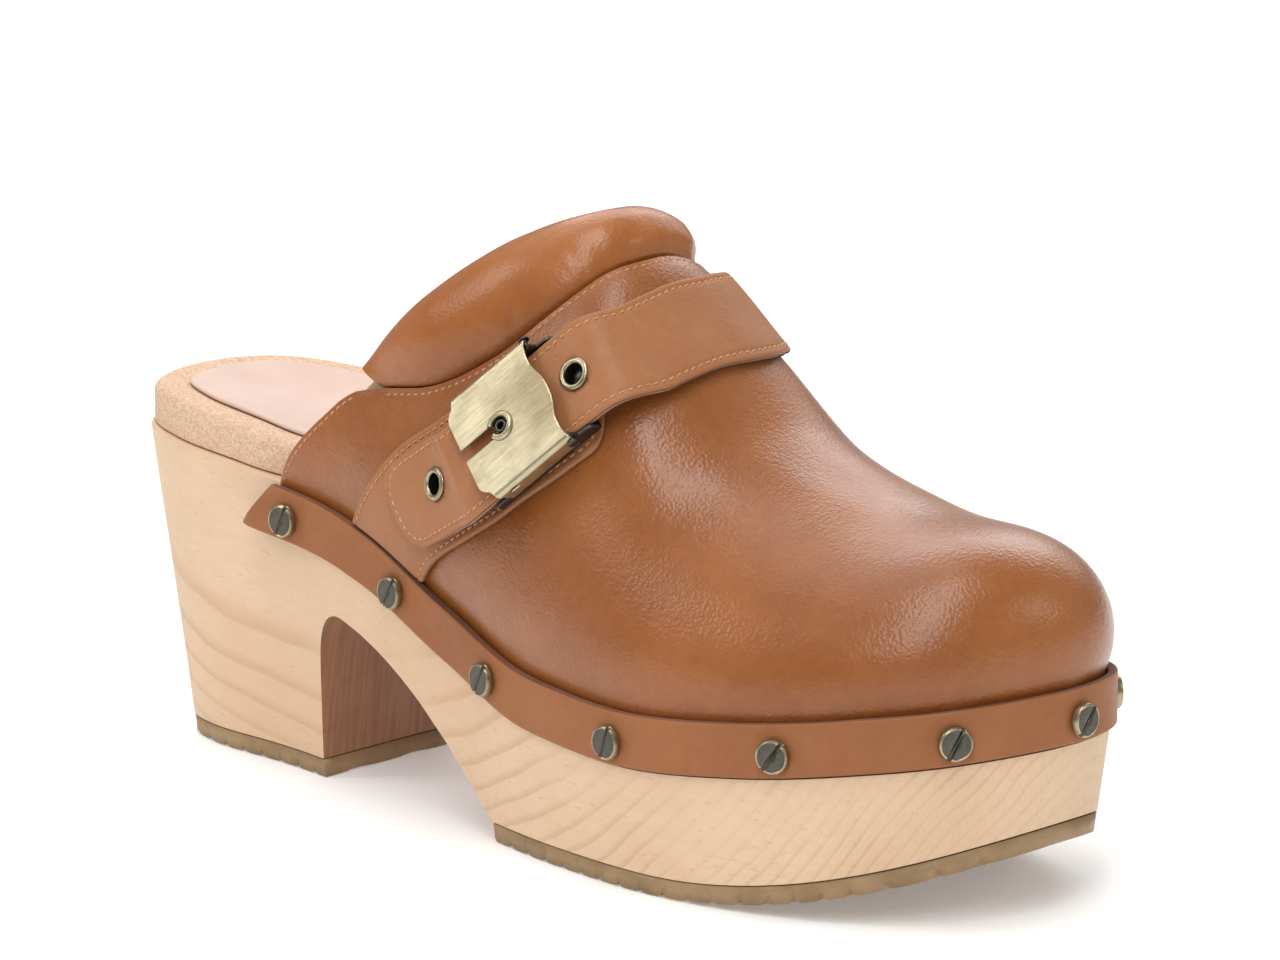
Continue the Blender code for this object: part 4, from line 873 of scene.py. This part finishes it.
def band_piece(name, node, face, length, width, thick, ends, mats, r=0.5, groove=1.8, drop=0.0,
               inset=0.0, rows=0.55, local_end=(True, False)):
    """Leather band: rounded edges, a stitch valley along them, matched under side."""
    across = edge_steps(width - 2 * inset, r) + inset
    w = across / width
    v = np.concatenate([edge_steps(8, r, 1.0)[:5] + inset, np.arange(inset + 1.0, length - 1.0, rows),
                        length - edge_steps(8, r)[:5][::-1]])
    V = v[:, None] + 0 * w
    V = (V + ends[0] * bow(w) * np.clip(1 - V / ROUND_END, 0, 1)
         - ends[1] * bow(w) * np.clip(1 - (length - V) / ROUND_END, 0, 1))
    W = np.broadcast_to(w, V.shape)
    d = np.minimum(across - inset, width - inset - across)[None] + 0 * V
    if local_end[0]:
        d = np.minimum(d, v[:, None] - inset)
    if local_end[1]:
        d = np.minimum(d, length - v[:, None])
    d = np.clip(d, 0, None)
    up = -rounded(d, r) - drop
    if groove:
        up = up - 0.17 * np.exp(-((d - groove) / 0.45) ** 2) - 0.10 * np.exp(-d / 1.2)
        up = up + 0.03 * np.sin(V * 3.0) * np.exp(-((d - groove) / 0.8) ** 2)
    top = face(V, W, up)
    low = face(V, W, -thick - drop + 0.35 * rounded(d, r))
    vv, ff, rim = slab(low, top)
    idx = [1, 0] * ((len(ff) - rim) // 2) + [1] * rim
    return piece(name, vv, ff, mats, nodes=[node], angle=75, index=idx)


def face_frame(d):
    """Local frame on the strap's outer face at distance d from its tip."""
    p = strap_face(np.float64(d), np.float64(0.5))
    ahead, behind = (strap_face(np.float64(d + k), np.float64(0.5)) for k in (2, -2))
    u = Vector(ahead - behind)
    w = Vector(strap_face(np.float64(d), np.float64(0.4)) - strap_face(np.float64(d), np.float64(0.6)))
    u.normalize()
    n = u.cross(w.normalized()).normalized()
    if n.y > 0:
        n.negate()
    return to_matrix(p, u, n.cross(u).normalized(), n)


def to_matrix(p, u, w, n):
    m = Matrix.Identity(4)
    for i, a in enumerate((u, w, n)):
        for j in range(3):
            m[j][i] = a[j]
    for j, c in enumerate((X0, Y0, 0)):
        m[j][3] = (p[j] - c) * MM
    return m


def build_strap():
    strap = band_piece("strap_leather", "strap", strap_face, STRAP_LEN, STRAP_W, STRAP_T, (8, 0),
                       [M["strap"], M["edge"]], rows=0.6)
    back = band_piece("strap_lining", "strap_backing", strap_face, STRAP_LEN, STRAP_W, BACK_T, (8, 0),
                      [M["lining"], M["edge"]], r=0.2, groove=0,
                      drop=STRAP_T + PLY_GAP - 0.12, inset=0.25, rows=1.2)
    for name, d in HOLES:
        m = face_frame(d)
        v, f = lathe([(0, -7), (EYELET_R + 0.45, -7), (EYELET_R + 0.45, 5), (0, 5)], 40)
        cut(strap, (tool("punch", v, f, m), "DIFFERENCE"))
        cut(back, (tool("punch", v, f, m), "DIFFERENCE"))
        r = EYELET_R
        ring = fillet([(r, -2.3), (r, 0.55), (r + 0.35, 0.95), (r + 0.95, 0.9), (r + 1.35, 0.55),
                       (r + 1.3, 0.2), (r + 0.45, 0.15), (r + 0.45, -2.3)], 0.25)
        v, f = lathe(ring, 56)
        # painted shade: the inner wall of the eyelet barrel gets the dark metal so the hole reads as shaded
        idx = ([1 if a[0] < r + 0.02 and b[1] < 0.35 else 0 for a, b in zip(ring, ring[1:])] + [1]) * 56
        piece("eyelet_" + name, v, f, [M["eyelet"], M["dark"]], nodes=["strap_eyelet_" + name],
              local=m, index=idx)
        # painted shade: a dark domed disc closes the bottom of the eyelet so the hole looks dark; its dome
        # catches a real glint
        if name != "peg":
            v, f = lathe([(0, -2.6), (r - 0.05, -2.6), (r - 0.05, -1.9), (r * 0.7, -1.55), (r * 0.3, -1.3),
                          (0, -1.25)], 40)
            piece("eyelet_shade_cap_" + name, v, f, [M["dark"]], local=m)


def build_tab():
    band_piece("tab_leather", "buckle_tab", tab_face, TAB_LEN, TAB_W, 1.3, (0, 9), [M["strap"], M["edge"]],
               local_end=(False, True))


# ---------------------------------------------------------------- stitching

def resample(p, step):
    """Points about every step along a polyline."""
    d = along(p)
    n = max(2, int(round(d[-1] / step)))
    s = np.linspace(0, d[-1], n + 1)
    return np.stack([np.interp(s, d, p[:, i]) for i in range(3)], 1)


def tube_faces(base, rings, seg):
    """Faces of a closed tube whose points start at base, ring by ring, seg to a ring."""
    around = [(m, (m + 1) % seg) for m in range(seg)]
    faces = [(a + m, a + m2, a + seg + m2, a + seg + m)
             for a in range(base, base + (rings - 1) * seg, seg) for m, m2 in around]
    return faces + [tuple(range(a, a + seg)) for a in (base, base + (rings - 1) * seg)]


def stitch_row(name, face, path, pitch=2.15, radius=0.25, lean=0.16):
    """Threads along a path of (v, w) parameters on a leather face, with needle holes drawn as near-black
    rings of painted shade.
    """
    a = np.array(path, float)
    fine = np.linspace(0, len(a) - 1, 1500)
    dense = np.stack([np.interp(fine, np.arange(len(a)), a[:, i]) for i in (0, 1)], 1)
    p = face(dense[:, 0], dense[:, 1], 0.0)
    q = face(dense[:, 0], dense[:, 1], 1.0)
    pts = resample(p, pitch)
    d = along(p)
    s = np.linspace(0, d[-1], len(pts))
    nrm = np.stack([np.interp(s, d, (q - p)[:, i]) for i in range(3)], 1)
    nrm /= np.linalg.norm(nrm, axis=1)[:, None]
    verts, faces, idx = [], [], []
    seg = 8
    ts = np.array([0.0, 0.07, 0.2, 0.38, 0.5, 0.62, 0.8, 0.93, 1.0])
    for i in range(len(pts) - 1):
        n = nrm[i] + nrm[i + 1]
        n /= np.linalg.norm(n)
        t = pts[i + 1] - pts[i]
        ln = np.linalg.norm(t)
        t /= ln
        b = np.cross(n, t)
        t2 = t * math.cos(lean) + b * math.sin(lean)
        b2 = np.cross(n, t2)
        c = (pts[i] + pts[i + 1]) / 2
        base = len(verts)
        half = ln * 0.40
        for k in ts:
            arch = math.sin(math.pi * k)
            r = radius * max(0.02, arch) ** 0.35
            o = c + t2 * (2 * k - 1) * half + n * (-0.22 + 0.30 * arch ** 0.6)
            for m in range(seg):
                an = 2 * math.pi * m / seg
                verts.append(o + (b2 * math.cos(an) + n * math.sin(an)) * r)
        tube = tube_faces(base, len(ts), seg)
        faces += tube
        idx += [0] * len(tube)
    # needle holes: near-black rings that paint the shade inside each hole
    for i in range(len(pts)):
        n = nrm[i]
        t = pts[min(i + 1, len(pts) - 1)] - pts[max(i - 1, 0)]
        t /= np.linalg.norm(t)
        b = np.cross(n, t)
        base = len(verts)
        o = pts[i] - n * 0.10
        rings = [(0.27, -0.15), (0.27, 0.02), (0.14, 0.06)]
        for r, h in rings:
            for m in range(6):
                an = 2 * math.pi * m / 6
                verts.append(o + (b * math.cos(an) + t * math.sin(an)) * r + n * h)
        tube = tube_faces(base, len(rings), 6)
        faces += tube
        idx += [1] * len(tube)
    return piece(name, verts, faces, [M["thread"], M["hole"]], angle=60, index=idx)


def vamp_face(v, w, up=0.0):
    """Vamp outer face by angle v in degrees and distance w in from the mouth edge."""
    e = vamp_edge(v)
    dv = 0.4
    a = skin(vamp_edge(v + dv), (v + dv) * DEG, 0.0) - skin(vamp_edge(v - dv), (v - dv) * DEG, 0.0)
    sx = skin(e + 0.5, v * DEG, 0.0) - skin(e - 0.5, v * DEG, 0.0)
    st = skin(e, (v + 0.5) * DEG, 0.0) - skin(e, (v - 0.5) * DEG, 0.0)
    n = np.cross(sx, st)
    n /= np.linalg.norm(n, axis=-1)[..., None]
    b = np.cross(n, a)
    b /= np.linalg.norm(b, axis=-1)[..., None]
    b = b * np.sign(np.sum(b * sx, -1))[..., None]
    g11, g12, g22 = np.sum(sx * sx, -1), np.sum(sx * st, -1), np.sum(st * st, -1)
    r1, r2 = np.sum(b * sx, -1), np.sum(b * st, -1)
    det = g11 * g22 - g12 * g12
    du, dw = (g22 * r1 - g12 * r2) / det, (g11 * r2 - g12 * r1) / det
    return skin(e + du * w, (v + dw * w) * DEG, up)


def band_outline(side, vs, tip, depth):
    """Stitch path up one edge, round the end at tip, and back down the other edge."""
    w = np.linspace(side, 1 - side, 30)
    v = tip + depth * (1 - np.sqrt(np.clip(1 - np.abs(2 * (w - side) / (1 - 2 * side) - 1) ** 2.6, 0, 1)))
    return [(q, side) for q in vs] + list(zip(v, w)) + [(q, 1 - side) for q in vs[::-1]]


def build_stitching():
    stitch_row("strap_stitching", lambda v, w, up: strap_face(v, w, up - 0.15),
               band_outline(1.8 / STRAP_W, np.linspace(STRAP_LEN - 1, 9, 170), 1.9, 6.2))
    stitch_row("tab_stitching", lambda v, w, up: tab_face(v, w, up - 0.15),
               band_outline(1.7 / TAB_W, np.linspace(1.0, 65, 90), 72.2, -7.4))
    stitch_row("collar_stitching", lambda v, w, up: vamp_face(v, w, up - 0.15),
               [(v, 1.5) for v in np.linspace(30.5, 149.8, 200)])
    for name, a, b in (("outer", 1.5, 27.6), ("inner", 178.5, 152.9)):
        stitch_row("edge_stitching_" + name, lambda v, w, up: vamp_face(v, w, up - 0.12),
                   [(v, 1.3) for v in np.linspace(a, b, 60)])


# ---------------------------------------------------------------- buckle

HINGE_U, HINGE_Z = 12.9, 4.9
PLATE_TOP = 6.7


def buckle_matrix(u=0.0, z=0.0):
    return to_matrix(FRAME_O, FRAME_U, FRAME_W, FRAME_N) @ Matrix.Translation(Vector((u, 0, z)) * MM)


def build_buckle_base():
    height = pchip([(-11.5, 2.2), (0, 2.4), (8, 2.8), (10.6, 5.4), (11.2, 5.6), (13.5, 5.6), (13.9, 5.0),
                    (14.3, 3.5), (16.8, 3.2), (17.8, 2.2), (18.4, 1.2)])
    rings = []
    us = np.concatenate([[-11.5, -11.4, -11.2], np.linspace(-10.8, 8, 12), np.linspace(8.4, 18.1, 24),
                         [18.25, 18.35, 18.4]])
    for u in us:
        end = min(u + 11.5, 18.4 - u)
        t = 0.25 * math.sqrt(max(0.0, 1 - (1 - min(end / 0.25, 1)) ** 2)) - 0.25
        h = float(height(u)) + t
        s = [(-12.9 - t, 0), (12.9 + t, 0), (12.9 + t, h), (12.1 - t, h), (12.1, 0.7 + t), (-12.1, 0.7 + t),
             (-12.1 + t, h), (-12.9 - t, h)]
        s = fillet(s + [s[0]], 0.3, 3)
        rings.append([(u, a, b) for a, b in s[:-1]])
    v, f = loft(rings, caps="flat")
    ob = piece("buckle_channel", v, f, [M["dark"]], nodes=["buckle_base"],
               local=buckle_matrix(), angle=40)
    cv, cf = lathe([(0, -2), (1.2, -2), (1.2, 3), (0, 3)], 24)
    cut(ob, (tool("peg_hole", cv, cf, buckle_matrix()), "DIFFERENCE"))


def mirrored(table):
    """A table of (w, u) pairs for w >= 0, with its mirror image put before it."""
    return [(-w, u) for w, u in table[::-1] if w] + table


def plate_edges():
    """Free edge and hinge edge of the cover as functions of distance across it."""
    free = pchip(mirrored([(8.0, -11.3), (9.2, -11.2), (10.0, -10.9), (10.8, -10.3), (11.6, -9.3),
                           (12.4, -8.9), (13.2, -8.6), (14.1, -8.4), (15.3, -7.6)]))
    far = pchip(mirrored([(0, 14.1), (2, 14.0), (4, 13.6), (6, 12.9), (7.8, 12.5), (9.6, 12.5), (11.5, 12.8),
                          (12.8, 13.2), (13.6, 13.5)]))
    return free, far


def build_buckle_cover():
    """Sheet bent down both sides, with an open slot to the peg eye."""
    free, far = plate_edges()
    bend, z_top, half = 1.25, PLATE_TOP, 14.1
    flat = half - bend
    arc = bend * math.pi / 2
    drop = z_top - bend - 2.3
    s_max = flat + arc + drop

    def section(s, depth):
        """(w, z) at signed distance s across the outer face, depth below it."""
        a, g = abs(s), 1 if s >= 0 else -1
        if a <= flat:
            return s, z_top - depth
        if a <= flat + arc:
            t = (a - flat) / bend
            return g * (flat + (bend - depth) * math.sin(t)), z_top - bend + (bend - depth) * math.cos(t)
        return g * (half - depth), z_top - bend - (a - flat - arc)
    thick = 0.8
    ss = np.concatenate([np.linspace(-s_max, -flat - arc, 8), np.linspace(-flat - arc, -flat, 10)[1:],
                         np.linspace(-flat, flat, 61)[1:-1], np.linspace(flat, flat + arc, 10),
                         np.linspace(flat + arc, s_max, 8)[1:]])
    us = np.concatenate([[0, 0.01, 0.03], np.linspace(0.06, 0.94, 30), [0.97, 0.99, 1.0]])
    r = 0.22
    top, low = [], []
    for s in ss:
        side_run = max(0.0, abs(s) - flat)
        a = float(free(np.clip(s, -15.3, 15.3))) + 0.9 * smooth(arc, s_max - flat, side_run)
        b = float(far(np.clip(s, -13.6, 13.6))) - 0.5 * float(smooth(arc * 0.5, s_max - flat, side_run))
        e = s_max - abs(s)
        rt, rl = [], []
        for q in us:
            u = a + (b - a) * q
            d = min(u - a, b - u, e)
            k = float(rounded(np.float64(d), r))
            w0, z0 = section(s, k)
            w1, z1 = section(s, thick - k)
            rt.append((u - HINGE_U, w0, z0 - HINGE_Z))
            rl.append((u - HINGE_U, w1, z1 - HINGE_Z))
        top.append(rt)
        low.append(rl)
    v, f, _ = slab(np.array(low), np.array(top))
    local = buckle_matrix(HINGE_U, HINGE_Z)
    ob = piece("buckle_plate_cover", v, f, [M["brass"]], body="buckle_plate", nodes=["buckle_cover"],
               local=local, angle=40)
    base = buckle_matrix()
    hv, hf = lathe([(0, 2), (2.6, 2), (2.6, 12), (0, 12)], 40)
    cut(ob, (tool("eye", hv, hf, base), "DIFFERENCE"),
        (box_tool("slot", (-13, -1.7, 2), (-0.5, 1.7, 12), base), "DIFFERENCE"),
        (box_tool("window", (-5.2, -16, 4.9), (-3.0, -12, 5.7), base), "DIFFERENCE"))
    cut(ob, *((box_tool("rail_notch", (10.4, w, 2), (20, w + 1.6, 6.4), base), "DIFFERENCE")
              for w in (11.7, -13.3)))
    ring = fillet([(2.0, 5.4), (2.0, 7.15), (2.35, 7.6), (2.9, 7.5), (3.35, 7.0), (3.45, 6.6), (2.7, 6.5),
                   (2.6, 5.4)], 0.25)
    gap = math.asin(1.7 / 3.4) * 0.92
    v, f = lathe([(a, b) for a, b in ring], 64, 2 * math.pi - 2 * gap, math.pi + gap)
    v = [(x - HINGE_U, y, z - HINGE_Z) for x, y, z in v]
    piece("buckle_eye_ring", v, f, [M["brass"]], body="buckle_plate", local=local)


def build_buckle_small():
    m = buckle_matrix()
    peg = fillet([(0.01, -0.25), (0.9, -0.25), (0.9, 1.0), (1.6, 1.0), (1.6, 6.5), (1.35, 6.9), (0.95, 6.9),
                  (0.8, 6.6), (0.8, 5.0), (0.01, 5.0)], 0.15)
    v, f = lathe(peg, 40)
    piece("peg", v, f, [M["dark"]], nodes=["buckle_peg"], local=m)
    for name, s in (("upper", 6), ("lower", -6)):
        v, f = lathe(fillet([(0.01, -1.8), (0.8, -1.8), (0.8, 0.55), (0.65, 0.68), (0.01, 0.68)], 0.1), 24)
        v = [(x + 9.5, y + s, z) for x, y, z in v]
        piece("rivet_" + name, v, f, [M["dark"]], nodes=["buckle_rivet_" + name], local=m)
    for name, s in (("upper", 1), ("lower", -1)):
        v, f = lathe(fillet([(0.01, 11.95), (0.6, 11.95), (0.6, 14.3), (1.3, 14.3), (1.3, 14.7), (0.9, 15.0),
                             (0.01, 15.05)], 0.15), 28)
        v = [(x + HINGE_U, s * z, y + HINGE_Z) for x, y, z in v]
        piece("pivot_" + name, v, f, [M["dark"]], nodes=["buckle_pivot_" + name], local=m)


# ---------------------------------------------------------------- welt and screws

def path_at(inset, s, x_start=61.0):
    """Point and outward normal at distance s along the band path round the toe."""
    r = RING - RING_N * np.asarray(inset(RING[:, 0]))[:, None]
    side, k = RING[:, 1] < 5.5, np.arange(len(RING))
    first = k[(RING[:, 0] >= x_start) & side & (k < TIP)].min()
    last = k[(RING[:, 0] >= x_start) & ~side & (k > TIP)].max()
    seg = slice(first, last + 1)
    d = along(RING[seg])
    q = np.stack([np.interp(s, d, r[seg][:, i]) for i in (0, 1)], -1)
    m = np.stack([np.interp(s, d, RING_N[seg][:, i]) for i in (0, 1)], -1)
    return q, m, d[-1]


def welt_inner(x):
    return rebate(x) - GAP - (VAMP_T + 0.55) * smooth(46, 54, x)


def welt_outer(x):
    return welt_inner(x) - WELT_T


def build_welt():
    start, lean = 50.0, 11.0
    total = path_at(welt_inner, 0.0, start)[2]
    t = np.linspace(0, 1, 321)
    hs = np.array([0.0, 0.006, 0.02, 0.045, 0.1, 0.25, 0.4, 0.55, 0.7, 0.85, 0.93, 0.965, 0.985, 0.996, 1.0])
    grids = []
    for inset, r in ((welt_inner, 0.15), (welt_outer, 0.5)):
        rows = []
        for h in hs:
            s = lean * h + t * (total - 2 * lean * h)
            end = np.minimum(s - lean * h, total - lean * h - s)
            d = np.minimum(np.minimum(h, 1 - h) * WELT_H, end)
            wave = 0.07 * np.sin(s / 5.1) * np.sin(s / 13.7) if inset is welt_outer else 0.0
            soft = rounded(d, r)
            q, m, _ = path_at(inset, s, start)
            q = q - m * (soft - wave)[:, None] if inset is welt_outer else q + m * soft[:, None]
            z = wood_top(q[:, 0]) - (1 - h) * WELT_H + 0.1
            rows.append(np.concatenate([q, z[:, None]], 1))
        grids.append(np.stack(rows, 1))
    v, f, rim = slab(grids[0], grids[1])
    idx = [0] * (len(f) - rim) + [1] * rim
    cols = len(hs) - 1
    for i in range(len(t) - 1):
        for j in (0, cols - 1):
            idx[2 * (i * cols + j) + 1] = 1
    piece("welt_band", v, f, [M["welt"], M["edge"]], nodes=["welt"], angle=75,
          index=idx)


def build_screws():
    total = path_at(welt_outer, 0.0)[2]
    outer, inner = [4.5, 41.5, 75.5, 118.5, 161, 199], [189, 155, 115, 76, 41.5, 4.5]
    body = [(0.01, -3), (1.6, -3), (1.6, 0.45), (3.55, 0.45), (3.8, 0.7), (3.8, 1.55), (3.62, 1.95),
            (3.3, 2.12), (3.2, 2.05), (1.5, 2.1), (0.01, 2.12)]
    turns = (0.9, 1.1, 1.0, 1.05, 1.2, 0.95, 1.1)
    for i, s in enumerate(outer + [total / 2 + 4] + [total - s for s in inner], 1):
        q, _, _ = path_at(welt_outer, float(s))
        run = path_at(welt_outer, s + 3.0)[0] - path_at(welt_outer, s - 3.0)[0]
        n = Vector((run[1], -run[0], 0)).normalized()
        up = Vector((0, 0, 1))
        p = np.array([q[0], q[1], float(wood_top(q[0])) - WELT_H * 0.56])
        turn = turns[i % 7]
        u = (up.cross(n) * math.cos(turn) + up * math.sin(turn)).normalized()
        m = to_matrix(p, u, n.cross(u), n)
        v, f = lathe(body, 44)
        idx = ([1 if 3 <= j <= 7 else 0 for j in range(len(body) - 1)] + [0]) * 44
        ob = piece("screw_%02d" % i, v, f, [M["gun"], M["eyelet"]], nodes=["welt_screw_%02d" % i],
                   local=m, index=idx, angle=30)
        cut(ob, (box_tool("slot", (-5, -0.5, 1.25), (5, 0.5, 3), m), "DIFFERENCE"))


# ---------------------------------------------------------------- setting

def soft_light(name, at, aim, size, power, colour=(1, 1, 1)):
    data = bpy.data.lights.new(name, "AREA")
    data.shape, data.size, data.size_y = "RECTANGLE", size[0], size[1]
    data.energy, data.color = power, colour
    ob = bpy.data.objects.new(name, data)
    ob.location = at
    ob.rotation_euler = (Vector(aim) - Vector(at)).to_track_quat("-Z", "Y").to_euler()
    bpy.context.scene.collection.objects.link(ob)


def build_setting():
    scene = bpy.context.scene
    world = bpy.data.worlds.new("studio")
    world.use_nodes = True
    bg = world.node_tree.nodes["Background"]
    bg.inputs[0].default_value, bg.inputs[1].default_value = (1, 1, 1, 1), 0.30
    scene.world = world
    n = Nodes("floor_white", 0.7)
    tint = n.mix(n.span(n.noise(3, 2), 0.3, 0.7), (0.88, 0.88, 0.88), (0.90, 0.90, 0.90))
    me = bpy.data.meshes.new("floor")
    s = 12.0
    me.from_pydata([(-s, -s, 0), (s, -s, 0), (s, s, 0), (-s, s, 0)], [], [(0, 1, 2, 3)])
    n.b.inputs["Emission Color"].default_value = (1, 1, 1, 1)
    n.b.inputs["Emission Strength"].default_value = 0.22
    me.materials.append(n.done(tint))
    floor = bpy.data.objects.new("floor", me)
    floor.location.z = -0.0002
    scene.collection.objects.link(floor)
    c = (0.0, 0.0, 0.05)
    soft_light("key", (-0.74, -0.80, 0.86), c, (0.5, 0.5), 3.8, (1.0, 0.99, 0.97))
    soft_light("strip", (0.43, -0.52, 1.10), (0.09, -0.02, 0.07), (0.32, 1.55), 11.5)
    soft_light("top", (-0.55, 0.12, 1.15), c, (0.9, 0.9), 3.2)
    soft_light("right", (1.05, 0.50, 0.68), c, (0.3, 0.3), 1.3)
    soft_light("back", (-0.25, 1.15, 0.65), (0, 0.1, 0.05), (0.9, 0.4), 1.6)
    soft_light("rear", (-0.55, 0.95, 0.95), (-0.5, 0.9, 0), (1.2, 1.0), 9.0)
    cam = bpy.data.cameras.new("camera")
    cam.lens, cam.sensor_width = 192.3, 36.0
    ob = bpy.data.objects.new("camera", cam)
    az, el, dist = 42.53 * DEG, 12.67 * DEG, 1.5125
    back = Vector((math.sin(az) * math.cos(el), -math.cos(az) * math.cos(el), math.sin(el)))
    ob.location = Vector((0.00855, 0.00313, 0.07693)) + back * dist
    ob.rotation_mode = "QUATERNION"
    ob.rotation_quaternion = (-back).to_track_quat("-Z", "Y")
    cam.clip_start, cam.clip_end = 0.05, 50
    scene.collection.objects.link(ob)
    scene.camera = ob
    scene.view_settings.view_transform = "Standard"


def paint_hidden():
    """Materials for the CAD nodes that stay as they are."""
    for node, key in (("vamp_interlining", "cloth"), ("toe_puff", "cloth"), ("collar_padding", "foam")):
        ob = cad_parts[node]
        ob.data.materials.clear()
        ob.data.materials.append(M[key])


for build in (build_setting, build_wood, build_outsoles, build_footbed, build_vamp, build_collar, build_tab,
              build_strap, build_stitching, build_buckle_base, build_buckle_cover, build_buckle_small,
              build_welt, build_screws, paint_hidden):
    build()
